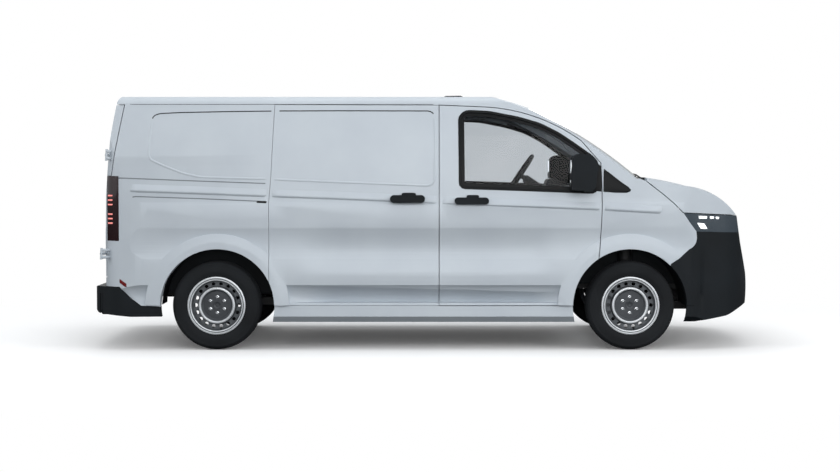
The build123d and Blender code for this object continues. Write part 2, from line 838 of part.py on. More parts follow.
tyre_profile = outline(
    (bead_radius, -rim_half_width + 12),
    (flange_radius, -rim_half_width + 8),
    (flange_radius, -rim_half_width - 2),
    ((272, -tyre_half), (tyre_radius - 16, -tyre_half + 12)),
    (tyre_radius - 4, -tyre_half + 28),
    (tyre_radius, 0),
    (tyre_radius - 4, tyre_half - 28),
    (tyre_radius - 16, tyre_half - 12),
    ((272, tyre_half), (flange_radius, rim_half_width + 2)),
    (flange_radius, rim_half_width - 8),
    (bead_radius, rim_half_width - 12),
)
tyre = revolve(Plane.XY * tyre_profile, wheel_axis)

# Engine, tank, exhaust
engine = block(1760, 2230, -330, 330, 330, 900)
tank = block(-800, 200, -380, 180, 270, 500)
tank = fillet(tank.edges().filter_by(Axis.X), 50)
tank = tank + block(-500, -440, -380, 180, 490, floor_z) + block(-60, 0, -380, 180, 490, floor_z)
pipe = Pos(-210, exhaust_y, 401) * Rot(0, 90, 0) * Cylinder(28, 3920)
silencer = Pos(-2030, exhaust_y - 80, 401) * Rot(0, 90, 0) * Cylinder(80, 300)

# Cab
dash_profile = outline(
    (dash_x, 905),
    (dash_x + 15, 1110),
    ((dash_x + 50, 1180), (dash_x + 120, 1205)),
    (toe_x, 1222),
    (toe_x, 780),
    (dash_x + 110, 790),
)
dash = extrude(Plane.XZ * dash_profile, 1000, both=True) & room
binnacle_profile = outline((980, 1170), (1010, 1262), ((1070, 1272), (1130, 1200)), (1130, 1160), (980, 1160))
dash = dash + extrude(Plane.XZ.offset(-wheel_side_y - 150) * binnacle_profile, 300)
column_plane = Plane(origin=(789, wheel_side_y, 1305), z_dir=(0.832, 0, -0.556))
hand_wheel = column_plane * (Torus(hand_radius, 15) + Cylinder(52, 46))
for angle in (0, 180, 270):
    hand_wheel = hand_wheel + column_plane * Rot(0, 0, angle) * Pos(hand_radius / 2, 0, 4) * Box(hand_radius, 34, 14)
hand_wheel = hand_wheel + column_plane * Pos(0, 0, 110) * Cylinder(20, 180)
column = column_plane * (Pos(0, 0, 160) * Cylinder(34, 220) - Pos(0, 0, 100) * Cylinder(20 + seat_gap, 203))
dash = dash + column
dash = dash - column_plane * Pos(0, 0, 100) * Cylinder(20 + seat_gap, 203)


def seat(centre_y, width):
    """A cab seat: plinth, cushion and upright back rest with its head rest."""
    shell_face = outline(
        (90, 640),
        (545, 640),
        ((590, 690), (555, 765)),
        (250, 735),
        (178, 760),
        (120, 1240),
        ((85, 1275), (20, 1245)),
        (60, 660),
    )
    head_face = outline((18, 1290), (8, 1440), ((50, 1470), (88, 1440)), (96, 1290))
    body = extrude(Plane.XZ.offset(-centre_y - width / 2) * shell_face, width)
    head = extrude(Plane.XZ.offset(-centre_y - 125) * head_face, 250)
    stalks = block(40, 60, centre_y - 60, centre_y + 60, 1240, 1300)
    plinth = block(130, 500, centre_y - width / 2 + 50, centre_y + width / 2 - 50, floor_z + floor_sheet, 645)
    return body + head + stalks + plinth


# Mirrors, handles, roof pod
mirror_face = outline(
    (1086, 1200),
    (1077, 1300),
    (1090, 1440),
    ((1130, 1466), (1180, 1464)),
    ((1250, 1440), (1272, 1330)),
    (1262, 1230),
    ((1240, 1198), (1180, 1193)),
)
mirror_head = extrude(Plane.XZ.offset(mirror_inner_half) * mirror_face, mirror_reach - mirror_inner_half)
mirror_arm = block(1180, 1268, -mirror_inner_half - 10, -940, 1205, 1262)
door_mirror = mirror_head + (mirror_arm - outer)


def handle(x_low, x_high, z_low, z_high):
    """A pull handle standing off the door's skin."""
    middle = ((x_low + x_high) / 2, (z_low + z_high) / 2)
    bar = Pos(*middle) * SlotOverall(x_high - x_low, z_high - z_low)
    return extrude(Plane.XZ.offset(960) * bar, handle_reach - 960) - outer


rear_handle = block(-2440, -2380, -250, -40, 1000, 1050) - outer
pod_face = outline((150, 1890), (150, 1928), (170, 1938), (290, 1940), (347, 1912), (347, 1890))
pod = (Plane.XZ.offset(-32) * pod_face)
pod = extrude(pod, 64) - outer

body_parts = {
    "floor_pan": floor_pan,
    "body_side_right": body_right,
    "body_side_left": left_of(body_left),
    "roof_panel": roof,
    "sliding_door": slide_right,
    "front_wing_right": wing_right,
    "front_wing_left": left_of(wing_right),
    "windscreen": screen,
    "scuttle_panel": scuttle,
    "front_bumper": bumper,
    "grille": grille,
    "slam_panel": slam_panel,
    "head_lamps": Compound(children=[lamp_right, left_of(lamp_right)]),
    "tail_lamps": Compound(children=[tail_lamp, left_of(tail_lamp)]),
    "rear_bumper": rear_bumper,
    "rear_step": step,
    "rear_frame": rear_frame,
    "wheel_houses": Compound(children=[front_liner, left_of(front_liner), rear_liner, left_of(rear_liner)]),
    "chassis_rails": chassis,
    "front_suspension": suspension,
    "rear_axle": rear_axle,
    "engine_block": engine,
    "fuel_tank": tank,
    "exhaust": pipe + silencer,
    "dashboard": dash,
    "driver_seat": seat(wheel_side_y, 500),
    "passenger_seat": seat(-wheel_side_y, 500),
    "bulkhead": bulkhead,
    "roof_pod": pod,
    "sliding_door_handle": handle(-258, 2, 1104, 1162),
}
front_handle = handle(222, 478, 1092, 1144)
moving_parts = {
    "steering_wheel": hand_wheel,
    "bonnet": bonnet,
    "front_door_right": door_right,
    "front_door_left": left_of(door_right),
    "door_glass_right": door_glass,
    "door_glass_left": left_of(door_glass),
    "mirror_right": door_mirror,
    "mirror_left": left_of(door_mirror),
    "door_handle_right": front_handle,
    "door_handle_left": left_of(front_handle),
    "rear_door_right": rear_right,
    "rear_door_left": left_of(rear_right),
    "rear_door_handle": rear_handle,
    "knuckle_right": knuckle,
    "knuckle_left": left_of(knuckle),
}
corners = {"front_right": (front_axle_x, -1), "rear_right": (rear_axle_x, -1)}
for name, (axle_x, side) in corners.items():
    place = Pos(axle_x, side * track / 2, hub_z) * Rot(0, 0, 180)
    moving_parts["rim_" + name] = place * rim
    moving_parts["tyre_" + name] = place * tyre
    mirrored = name.replace("right", "left")
    moving_parts["rim_" + mirrored] = left_of(place * rim)
    moving_parts["tyre_" + mirrored] = left_of(place * tyre)

parts = {**body_parts, **moving_parts}
os.makedirs("parts", exist_ok=True)
for name, solid in parts.items():
    export_step(solid, "parts/" + name + ".step")
    box = solid.bounding_box()
    size = tuple(round(value) for value in (*box.min, *box.max))
    print(name, len(solid.solids()), round(sum(item.volume for item in solid.solids()) / 1e6, 1), size)
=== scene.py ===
"""Dresses the panel van: paint, black plastic, glass, lamps, tyres, seats, seals and pressings.

Lengths are metres. The van faces +X, its left is +Y, and the ground is at z = 0.
"""
import json

import bmesh
import bpy
import numpy as np
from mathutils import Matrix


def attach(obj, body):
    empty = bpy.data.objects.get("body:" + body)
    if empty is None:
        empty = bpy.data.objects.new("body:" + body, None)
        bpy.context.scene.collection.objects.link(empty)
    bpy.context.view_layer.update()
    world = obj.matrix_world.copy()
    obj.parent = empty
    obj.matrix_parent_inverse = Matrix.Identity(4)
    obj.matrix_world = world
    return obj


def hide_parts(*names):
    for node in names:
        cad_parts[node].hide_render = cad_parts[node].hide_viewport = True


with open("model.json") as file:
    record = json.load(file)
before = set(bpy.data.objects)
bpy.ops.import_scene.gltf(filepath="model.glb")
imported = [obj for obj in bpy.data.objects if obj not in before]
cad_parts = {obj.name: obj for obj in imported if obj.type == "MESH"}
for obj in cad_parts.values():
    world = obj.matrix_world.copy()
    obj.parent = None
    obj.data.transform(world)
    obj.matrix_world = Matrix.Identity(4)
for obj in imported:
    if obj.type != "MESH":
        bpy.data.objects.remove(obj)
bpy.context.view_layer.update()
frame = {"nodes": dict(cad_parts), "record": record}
nodes = frame["nodes"]
groups = frame["record"]["behaviour"]["bodies"]
body_of_node = {node: body for body, members in groups.items() for node in members}

SIDES = (("right", -1), ("left", 1))

# Body sides, half widths and heights
HOLLOW_TOP = (1.003, 0.915)
WAIST = (1.012, 1.085)
SHOULDER = (1.001, 1.112)
MID_WINDOW = (0.957, 1.480)
ROOF_JOINT = (0.868, 1.840)

# Pressing of the lower side: where it grows at the rear, fades at the front, and starts across the panel
PRESSED_PANELS = {"body_side_right", "body_side_left", "sliding_door", "front_door_right", "front_door_left"}
PRESSING_REAR = (-1.000, -0.700)
PRESSING_FRONT = (0.780, 1.020)
PRESSING_SIDE = (0.80, 0.86)

# Cells that the pressed panels are cut to: their size, and where they lie along and up the side
CELL = 0.035
CELLS_ALONG = (-1.020, 1.030)
CELLS_UP = (0.380, 0.980)

# Hollow under the handles: heights of its foot, its deepest line and its top
HOLLOW_LEVELS = (0.560, 0.720, 0.960)
HOLLOW_DEPTH = 0.026

# Scallop over the sill: heights where it starts and is deepest, and the crease that it dies out at, as its
# height at x = 0 and its slope
SCALLOP_FOOT = (0.3535, 0.3585)
SCALLOP_DEPTH = 0.080
CREASE = (0.461, -0.028)

# Paths and patches laid on the skin: points are dropped from beside or behind the van, and one that moves
# less than the least reach has missed
PATH_STEP = 0.020
RIM_DROP = 0.002
END_DROP = 0.001
BESIDE_Y = -1.3
BEHIND_X = -2.60
LEAST_REACH = 0.05

# Angles in degrees from which an edge is drawn sharp
SKIN_SHARP = 28.0
PIECE_SHARP = 35.0
TYRE_SHARP = 40.0
TRIM_SHARP = 60.0
CUSHION_SHARP = 80.0

# Wheels
AXLES = {"rear": -1.559, "front": 1.541}
HUB_Z = 0.333
HALF_TRACK = 0.870
NUT_CIRCLE = 0.060
VALVE_OFFSET = (0.030, -0.176)
TREAD_RADIUS = 0.3325
TREAD_HALF = 0.079
TREAD_CROWN = 0.0045
RING_GROOVES = (-0.047, -0.0155, 0.0155, 0.047)
RING_GROOVE_HALF = 0.0055
CROSS_GROOVES = 64
CROSS_SLANT = 260
MIDDLE_RIB_HALF = 0.020
GROOVE_DEPTH = 0.0075

# Windscreen's outer face on the centre line, its curve across, and its lean for each unit of height
SCREEN_X = 1.668
SCREEN_Z = 1.300
SCREEN_CURVE = 0.128
SCREEN_LEAN = 1.2

# Rear door hinge line: its foot on the left, its lean for each unit of height, and its two hinges
HINGE_FOOT = (-2.420, 0.952, 0.722)
HINGE_LEAN = 0.0596
HINGE_HEIGHTS = (0.722, 1.460)

# Seats: half width, and the sewn channels' place and width as shares of it, and their depth
SEAT_HALF = 0.245
CHANNEL_PLACE = 0.55
CHANNEL_WIDTH = 0.03
CHANNEL_DEPTH = 0.004

# Camera: its place, its tilt in degrees, its lens and sensor in millimetres
CAMERA_PLACE = (-0.035, -13.4, 1.385)
CAMERA_DOWN = 2.44
CAMERA_LENS = 71.36
CAMERA_SENSOR = 36

# Photograph, in its pixels: focal length, middle column, and the row at the camera's height
PHOTO_FOCAL = 1665
PHOTO_MIDDLE = 420
PHOTO_LEVEL = 165

# Half widths at which places read off the photograph lie
PANEL_HALF = 0.95
SHOULDER_HALF = 1.0
HEAD_LAMP_HALF = 0.93
TAIL_LAMP_HALF = 0.92

# Studio floor: its half length, its own glow, how far off it fades to plain white, and how much farther
# along the van it does so
FLOOR_HALF = 60
FLOOR_GLOW = 0.05
FLOOR_FADE = (2.2, 4.5)
FADE_SQUEEZE = 0.7
SKY_STRENGTH = 0.55


# Colours and node helpers
def linear(hex_colour):
    """An sRGB hex colour as linear red, green and blue, with an alpha of 1."""
    parts = np.array([int(hex_colour[i:i + 2], 16) for i in (0, 2, 4)]) / 255
    values = np.where(parts <= 0.04045, parts / 12.92, ((parts + 0.055) / 1.055) ** 2.4)
    return (*values.tolist(), 1.0)


def set_values(node, **values):
    """Sets a node's properties or inputs by name, with an underscore for each space."""
    for key, value in values.items():
        if hasattr(node, key):
            setattr(node, key, value)
        else:
            node.inputs[key.replace("_", " ")].default_value = value


def add(tree, kind, links=(), stops=(), **settings):
    """Adds a node: links are (input, source socket), stops are a ramp's two (place, colour) ends, and
    settings name its properties or inputs."""
    node = tree.nodes.new(kind)
    set_values(node, **settings)
    for key, source in links:
        tree.links.new(source, node.inputs[key])
    for end, (place, colour) in enumerate(stops):
        node.color_ramp.elements[end].position = place
        node.color_ramp.elements[end].color = colour
    return node


def material(name):
    """A new node material with its Principled shader, and the object-space coordinates."""
    made = bpy.data.materials.new(name)
    made.use_nodes = True
    tree = made.node_tree
    shader = tree.nodes["Principled BSDF"]
    coordinates = add(tree, "ShaderNodeTexCoord")
    return made, tree, shader, coordinates.outputs["Object"]


def grained(name, low, high, grain_scale, bump, roughness, **sockets):
    """A finish whose colour varies slightly between two shades, with a fine surface grain, whose scale is
    grains to a metre: 1000 is a grain of 1 mm, about the finest that shows."""
    made, tree, shader, place = material(name)
    cloud = add(tree, "ShaderNodeTexNoise", [("Vector", place)], Scale=3.0, Detail=3.0)
    colour = add(tree, "ShaderNodeValToRGB", [("Fac", cloud.outputs["Fac"])],
                 stops=[(0.3, linear(low)), (0.7, linear(high))])
    tree.links.new(colour.outputs["Color"], shader.inputs["Base Color"])
    grain = add(tree, "ShaderNodeTexNoise", [("Vector", place)], Scale=grain_scale, Detail=2.0)
    rise = add(tree, "ShaderNodeBump", [("Height", grain.outputs["Fac"])], Strength=bump, Distance=0.0004)
    tree.links.new(rise.outputs["Normal"], shader.inputs["Normal"])
    set_values(shader, Roughness=roughness, **sockets)
    return made


# Silver-grey metallic lacquer: aluminium flake under a clear coat, so highlights are soft with a sharp top
paint = grained("silver_grey_lacquer", "B7BFC7", "BDC5CC", 900.0, 0.02, 0.48,
                Metallic=0.08, Coat_Weight=0.08, Coat_Roughness=0.30,
                Specular_IOR_Level=0.30)
# Moulded polypropylene: dull, slightly bluish black with a leather grain about 1 mm wide
black_plastic = grained("grained_black_polypropylene", "0C1115", "12181D", 700.0, 0.10, 0.62,
                        Specular_IOR_Level=0.2)
# Satin ABS and ceramic print round the glass: near black, with a weak sheen and no grain
gloss_black = grained("satin_black_abs", "04070A", "080B0E", 400.0, 0.01, 0.42, Specular_IOR_Level=0.15)
# Extruded door rubber: matt, no grain to see. The same near black is laid as painted shade along the top
# edges of the recessed side panels
rubber_and_groove_shade = grained("rubber_and_groove_shade", "0E0F10", "141516", 500.0, 0.1, 0.75)
# Seam and rail lines: mid grey, painted shade for the shadow that lies in them
seam_line_shade = grained("seam_line_painted_shade", "6B7278", "747B81", 300.0, 0.05, 0.6)
# Moulded tyre rubber: dull, dusty black
tyre_rubber = grained("tyre_rubber", "141619", "1D2023", 350.0, 0.3, 0.85, Specular_IOR_Level=0.25)
# Pressed steel wheel in silver enamel: the rings stay bright, and the recessed disc between them is a darker
# grey, painted shade for the shadow in the recess
wheel_silver = grained("wheel_silver_enamel", "C2C6CA", "D2D6D9", 600.0, 0.05, 0.30, Metallic=0.35)
wheel_disc_painted_shade = grained("wheel_enamel_painted_shade", "4E5256", "65696D", 90.0, 0.08, 0.5, Metallic=0.45)
# Cast iron of hub and brake with a thin dark oxide: dark, and half as shiny as bare metal
hub_iron = grained("dark_cast_hub", "3A3D41", "4C4F53", 300.0, 0.3, 0.55, Metallic=0.5)
# Zinc-plated steel of nuts and stalks: light silver with small clear highlights
nut_zinc = grained("zinc_plated_nut", "C9CDD0", "DADDE0", 500.0, 0.05, 0.25, Metallic=0.9)
# Chassis paint: satin black over rolled steel, slightly uneven
chassis_paint = grained("satin_chassis_paint", "18191B", "232527", 200.0, 0.3, 0.6)
# Cast iron of the engine block: sand-cast, dark grey, rough and dull
cast_iron = grained("cast_iron", "3C3D3F", "505153", 250.0, 0.6, 0.7, Metallic=0.6)
# Exhaust: stainless steel tube dulled by heat, brownish with a blurred shine
exhaust_steel = grained("dull_stainless_steel", "77736D", "8F8A82", 200.0, 0.2, 0.45, Metallic=0.85)
# Cab mouldings: dark grey polypropylene with a fine dull grain
cab_plastic = grained("cab_polypropylene", "2A2C2F", "34373A", 900.0, 0.3, 0.6)
# Moulded rubber mat of the floor: dark and dull, with a coarse grain
floor_rubber = grained("ribbed_floor_rubber", "1D1E20", "292B2D", 150.0, 0.4, 0.8)
# Chromed reflector behind the lamp's clear lens, bright as the lamp is lit
lamp_light = grained("lit_lamp_element", "F4F7F9", "FFFFFF", 300.0, 0.01, 0.2,
                     Emission_Color=linear("F6FAFF"), Emission_Strength=0.9)
# Retroreflector: moulded red acrylic, dark red with a smooth bright face
red_reflector = grained("red_reflector_acrylic", "5A0F10", "701516", 800.0, 0.4, 0.18)
# Lit bars of the tail lamp: red acrylic with a light behind it, so it shows as pale red
red_light = grained("lit_red_bar", "E98D86", "F0A09A", 300.0, 0.01, 0.3,
                    Emission_Color=linear("F0807A"), Emission_Strength=0.55)
# Mirror glass: silvered float glass, a clean reflection
mirror_glass = grained("silvered_mirror", "DDE2E4", "E4E8EA", 100.0, 0.0, 0.02, Metallic=1.0)


def clear_glass():
    """Float glass tinted grey in the mass, so a view through two panes is clearly darker."""
    made, tree, shader, place = material("tinted_float_glass")
    cloud = add(tree, "ShaderNodeTexNoise", [("Vector", place)], Scale=2.0)
    colour = add(tree, "ShaderNodeValToRGB", [("Fac", cloud.outputs["Fac"])],
                 stops=[(0.3, linear("D4D8DB")), (0.7, linear("DADDE0"))])
    tree.links.new(colour.outputs["Color"], shader.inputs["Base Color"])
    set_values(shader, Roughness=0.0, IOR=1.2, Transmission_Weight=1.0)
    return made


def seat_cloth():
    """Woven seat cloth: two crossed sets of threads 4.8 mm apart, twice as coarse as real ones."""
    made, tree, shader, place = material("woven_seat_cloth")
    threads = []
    for axis in ("X", "Z"):
        wave = add(tree, "ShaderNodeTexWave", [("Vector", place)], bands_direction=axis, Scale=65.0)
        threads.append(wave.outputs["Fac"])
    weave = add(tree, "ShaderNodeMath", enumerate(threads), operation="MULTIPLY")
    colour = add(tree, "ShaderNodeValToRGB", [("Fac", weave.outputs["Value"])],
                 stops=[(0.0, linear("26282C")), (1.0, linear("44474D"))])
    tree.links.new(colour.outputs["Color"], shader.inputs["Base Color"])
    rise = add(tree, "ShaderNodeBump", [("Height", weave.outputs["Value"])], Strength=0.4, Distance=0.0006)
    tree.links.new(rise.outputs["Normal"], shader.inputs["Normal"])
    set_values(shader, Roughness=0.9, Sheen_Weight=0.3)
    return made


def dark_lens(name, base, tint):
    """A lamp lens of clear polycarbonate over a dark housing: glossy, with level flutes 8 mm apart."""
    made, tree, shader, place = material(name)
    flutes = add(tree, "ShaderNodeTexWave", [("Vector", place)], bands_direction="Z", Scale=40.0)
    colour = add(tree, "ShaderNodeValToRGB", [("Fac", flutes.outputs["Fac"])],
                 stops=[(0.0, linear(base)), (1.0, linear(tint))])
    tree.links.new(colour.outputs["Color"], shader.inputs["Base Color"])
    set_values(shader, Roughness=0.16, Coat_Weight=1.0, Coat_Roughness=0.02)
    return made


glass = clear_glass()
cloth = seat_cloth()
head_lens = dark_lens("head_lamp_lens", "3B434A", "4A535B")
tail_lens = dark_lens("tail_lamp_lens", "1C0D11", "2A1216")


# Objects and meshes
def new_object(name, data):
    """A new object with its data, linked to the scene."""
    made = bpy.data.objects.new(name, data)
    bpy.context.scene.collection.objects.link(made)
    return made


def place_piece(name, mesh, finish, body, sharp=PIECE_SHARP):
    """Links a mesh as a smooth piece with its finish, and lets it ride its body."""
    mesh.materials.clear()
    mesh.materials.append(finish)
    mesh.shade_smooth()
    mesh.set_sharp_from_angle(angle=np.radians(sharp))
    piece = new_object(name, mesh)
    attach(piece, body)
    return piece


def points_of(mesh):
    """A mesh's points, one to a row."""
    places = np.empty(len(mesh.vertices) * 3)
    mesh.vertices.foreach_get("co", places)
    return places.reshape(-1, 3)


def joined(name, meshes):
    """One mesh made of several grids, their points and four-cornered faces laid end to end."""
    points, faces, start = [], [], 0
    for mesh in meshes:
        corners = np.empty(len(mesh.loops), np.int32)
        mesh.loops.foreach_get("vertex_index", corners)
        points.append(points_of(mesh))
        faces.append(start + corners.reshape(-1, 4))
        start += len(mesh.vertices)
        bpy.data.meshes.remove(mesh)
    whole = bpy.data.meshes.new(name)
    whole.from_pydata(np.vstack(points).tolist(), [], np.vstack(faces).tolist())
    whole.update()
    return whole


def modified(mesh, kind, **settings):
    """A copy of a mesh as one modifier leaves it."""
    scratch = new_object("scratch", mesh)
    modifier = scratch.modifiers.new("scratch", kind)
    for key, value in settings.items():
        setattr(modifier, key, value)
    graph = bpy.context.evaluated_depsgraph_get()
    made = bpy.data.meshes.new_from_object(scratch.evaluated_get(graph))
    bpy.data.objects.remove(scratch)
    return made


def welded(mesh, distance=0.0001):
    """The same mesh with points nearer than the distance made one."""
    return modified(mesh, "WELD", merge_threshold=distance)


def smooth_step(value, low, high):
    """0 below low, 1 above high, and an even curve between."""
    t = np.clip((value - low) / (high - low), 0, 1)
    return t * t * (3 - 2 * t)


def press_in(x, z):
    """How far the lower side is pressed in: a long hollow under the handles, and a deep scallop over
    the sill that dies out at the wheel arches."""
    ends = smooth_step(x, *PRESSING_REAR) * (1 - smooth_step(x, *PRESSING_FRONT))
    foot, deepest, top = HOLLOW_LEVELS
    hollow = smooth_step(z, foot, deepest) * (1 - smooth_step(z, deepest, top))
    crease = CREASE[0] + CREASE[1] * x
    start, full = SCALLOP_FOOT
    scallop = np.clip((z - start) / (full - start), 0, 1) * np.clip((crease - z) / (crease - full), 0, 1)
    return ends * (HOLLOW_DEPTH * hollow + SCALLOP_DEPTH * scallop)


def pressed(mesh):
    """The lower part of a side panel's mesh, cut to cells and pressed in. Both faces of the panel move
    together, so its thickness stays."""
    cuts = [((0, 0, level), (0, 0, 1)) for level in (*SCALLOP_FOOT, *np.arange(*CELLS_UP, CELL / 2))]
    cuts.append(((0, 0, CREASE[0]), (-CREASE[1], 0, 1)))
    cuts.extend(((place, 0, 0), (1, 0, 0)) for place in np.arange(*CELLS_ALONG, 2 * CELL))
    shape = bmesh.new()
    shape.from_mesh(mesh)
    for place, direction in cuts:
        whole = shape.verts[:] + shape.edges[:] + shape.faces[:]
        bmesh.ops.bisect_plane(shape, geom=whole, dist=1e-6, plane_co=place, plane_no=direction)
    shape.to_mesh(mesh)
    shape.free()
    places = points_of(mesh)
    outside = smooth_step(np.abs(places[:, 1]), *PRESSING_SIDE)
    places[:, 1] -= np.sign(places[:, 1]) * press_in(places[:, 0], places[:, 2]) * outside
    mesh.vertices.foreach_set("co", places.ravel())
    mesh.update()


def smooth_copy(node, finish):
    """A merged copy of a frame node, smooth except at its real edges, which stands for the node."""
    mesh = nodes[node].data.copy()
    mesh.name = node + "_skin"
    merged = welded(mesh, 0.00002)
    if merged.has_custom_normals:
        merged.attributes.remove(merged.attributes["custom_normal"])
    if node in PRESSED_PANELS:
        pressed(merged)
    piece = place_piece(node + "_skin", merged, finish, body_of_node[node], SKIN_SHARP)
    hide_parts(node)


# Surfaces
def grid_mesh(name, points, closed_u=False, closed_v=False, flip=False):
    """A mesh through a grid of points, rows along u and columns along v, closed where asked."""
    rows, columns = points.shape[:2]
    index = np.arange(rows * columns).reshape(rows, columns)
    if closed_u:
        index = np.vstack([index, index[:1]])
    if closed_v:
        index = np.hstack([index, index[:, :1]])
    corners = [index[:-1, :-1], index[1:, :-1], index[1:, 1:], index[:-1, 1:]]
    quads = np.stack(corners, axis=-1).reshape(-1, 4)
    if flip:
        quads = quads[:, ::-1]
    mesh = bpy.data.meshes.new(name)
    mesh.from_pydata(points.reshape(-1, 3).tolist(), [], quads.tolist())
    mesh.update()
    return mesh


def circle_half(z, low, middle, high):
    """The half width at a height on the arc through three (half width, height) points."""
    (a, p), (b, q), (c, r) = low, middle, high
    matrix = np.array([[b - a, q - p], [c - a, r - p]])
    right = np.array([b * b + q * q - a * a - p * p, c * c + r * r - a * a - p * p]) / 2
    centre = np.linalg.solve(matrix, right)
    radius = np.hypot(a - centre[0], p - centre[1])
    return centre[0] + np.sqrt(np.maximum(radius**2 - (z - centre[1]) ** 2, 0))


def side_half(z):
    """The body side's half width at a height: straight to the waist, a step, then the window arc."""
    lower = HOLLOW_TOP[0] + (WAIST[0] - HOLLOW_TOP[0]) * (z - HOLLOW_TOP[1]) / (WAIST[1] - HOLLOW_TOP[1])
    step = WAIST[0] + (SHOULDER[0] - WAIST[0]) * (z - WAIST[1]) / (SHOULDER[1] - WAIST[1])
    upper = circle_half(z, SHOULDER, MID_WINDOW, ROOF_JOINT)
    return np.where(z < WAIST[1], lower, np.where(z < SHOULDER[1], step, upper))


def distances(path):
    """How far along a flat path each of its points lies."""
    return np.concatenate([[0], np.cumsum(np.linalg.norm(np.diff(path, axis=0), axis=1))])


def resampled(path, count):
    """Evenly spaced points along a flat path, its two ends among them."""
    along = distances(path)
    places = np.linspace(0, along[-1], count)
    return np.stack([np.interp(places, along, path[:, 0]), np.interp(places, along, path[:, 1])], axis=1)


def rounded(corners, radius):
    """A closed path through corners: each corner is replaced by a curve of the given reach,
    and the whole is then resampled evenly."""
    corners = np.asarray(corners, float)
    before = np.roll(corners, 1, axis=0) - corners
    after = np.roll(corners, -1, axis=0) - corners
    before_length = np.linalg.norm(before, axis=1)[:, None]
    after_length = np.linalg.norm(after, axis=1)[:, None]
    reach = np.minimum(radius, 0.45 * np.minimum(before_length, after_length))
    start = corners + before / before_length * reach
    end = corners + after / after_length * reach
    t = np.linspace(0, 1, 9)[None, :, None]
    curve = (1 - t) ** 2 * start[:, None] + 2 * t * (1 - t) * corners[:, None] + t**2 * end[:, None]
    path = curve.reshape(-1, 2)
    closed = np.vstack([path, path[:1]])
    return resampled(closed, int(distances(closed)[-1] / PATH_STEP) + 1)[:-1]


def counterclockwise(path):
    """Whether a closed flat path runs counterclockwise, by the sign of its area."""
    return np.sum(path[:, 0] * np.roll(path[:, 1], -1) - path[:, 1] * np.roll(path[:, 0], -1)) > 0


def outward(path):
    """Unit vectors pointing out of a closed flat path, across its direction of travel."""
    tangent = np.roll(path, -1, axis=0) - np.roll(path, 1, axis=0)
    tangent /= np.linalg.norm(tangent, axis=1)[:, None]
    normal = np.stack([tangent[:, 1], -tangent[:, 0]], axis=1)
    return normal if counterclockwise(path) else -normal


def on_side(flat, y):
    """Points with a grid's x and z and the given y."""
    return np.stack([flat[..., 0], np.broadcast_to(y, flat.shape[:2]), flat[..., 1]], axis=-1)


def side_band(name, path, profile, side):
    """A profile of (offset across the path, height off the skin) carried round a path on a body side."""
    profile = np.asarray(profile, float)
    flat = path[:, None] + outward(path)[:, None] * profile[None, :, :1]
    points = on_side(flat, side * (side_half(flat[..., 1]) + profile[None, :, 1]))
    return grid_mesh(name, points, closed_u=True, flip=counterclockwise(path) != (side > 0))


def patch_heights(rows, columns, lift):
    """Heights of a patch over the skin: the lift inside, and a rim turned down into the skin."""
    heights = np.full((rows, columns), -RIM_DROP)
    heights[1:-1, 1:-1] = lift
    return heights


def side_sheet(name, low, high, lift, side, rows=40, columns=6):
    """A sheet on a body side between a low and a high line: u runs along the lines, v from one
    to the other, and its rim is turned down to the skin."""
    low, high = (resampled(np.asarray(line, float), rows) for line in (low, high))
    v = np.linspace(0, 1, columns)[None, :, None]
    flat = low[:, None] * (1 - v) + high[:, None] * v
    points = on_side(flat, side * (side_half(flat[..., 1]) + patch_heights(rows, columns, lift)))
    return grid_mesh(name, points, flip=side > 0)


def turned_mesh(name, profile, centre, count, side):
    """A profile of (radius, outward distance) turned about a wheel's axis."""
    profile = np.asarray(profile, float)
    angle = np.linspace(0, 2 * np.pi, count, endpoint=False)[:, None]
    x = centre[0] + profile[None, :, 0] * np.cos(angle)
    z = centre[2] + profile[None, :, 0] * np.sin(angle)
    y = centre[1] + side * profile[None, :, 1] + 0 * angle
    return grid_mesh(name, np.stack([x, y, z], axis=-1), closed_u=True, flip=side < 0)


def box_mesh(name, low, high, power):
    """A rounded box: a grid sphere's directions pushed to a box's faces by a superellipsoid, whose
    edges are sharper as its power is higher."""
    u = np.linspace(0, 2 * np.pi, 48, endpoint=False)[:, None]
    v = np.linspace(-np.pi / 2, np.pi / 2, 25)[None, :]
    shape = [np.cos(v) * np.cos(u), np.cos(v) * np.sin(u), np.sin(v) + 0 * u]
    size = sum(np.abs(part) ** power for part in shape) ** (-1 / power)
    low, high = np.asarray(low, float), np.asarray(high, float)
    points = np.stack([part * size for part in shape], axis=-1) * (high - low) / 2 + (high + low) / 2
    return grid_mesh(name, points, closed_u=True)


def side_box(name, low, high, power, side):
    """A rounded box on the left as given, or its mirror image on the right."""
    y_low, y_high = sorted((side * low[1], side * high[1]))
    return box_mesh(name, (low[0], y_low, low[2]), (high[0], y_high, high[2]), power)


def swept_bar(name, path, radii):
    """A tube of changing radius carried along a path of points."""
    path, radii = np.asarray(path, float), np.asarray(radii, float)
    tangent = np.gradient(path, axis=0)
    tangent /= np.linalg.norm(tangent, axis=1)[:, None]
    side = np.cross(tangent, (0, 0, 1) if abs(tangent[0, 2]) < 0.9 else (1, 0, 0))
    side /= np.linalg.norm(side, axis=1)[:, None]
    upward = np.cross(side, tangent)
    turn = np.linspace(0, 2 * np.pi, 12, endpoint=False)[None, :, None]
    round_path = np.cos(turn) * side[:, None] + np.sin(turn) * upward[:, None]
    return grid_mesh(name, path[:, None] + radii[:, None, None] * round_path, closed_v=True, flip=True)


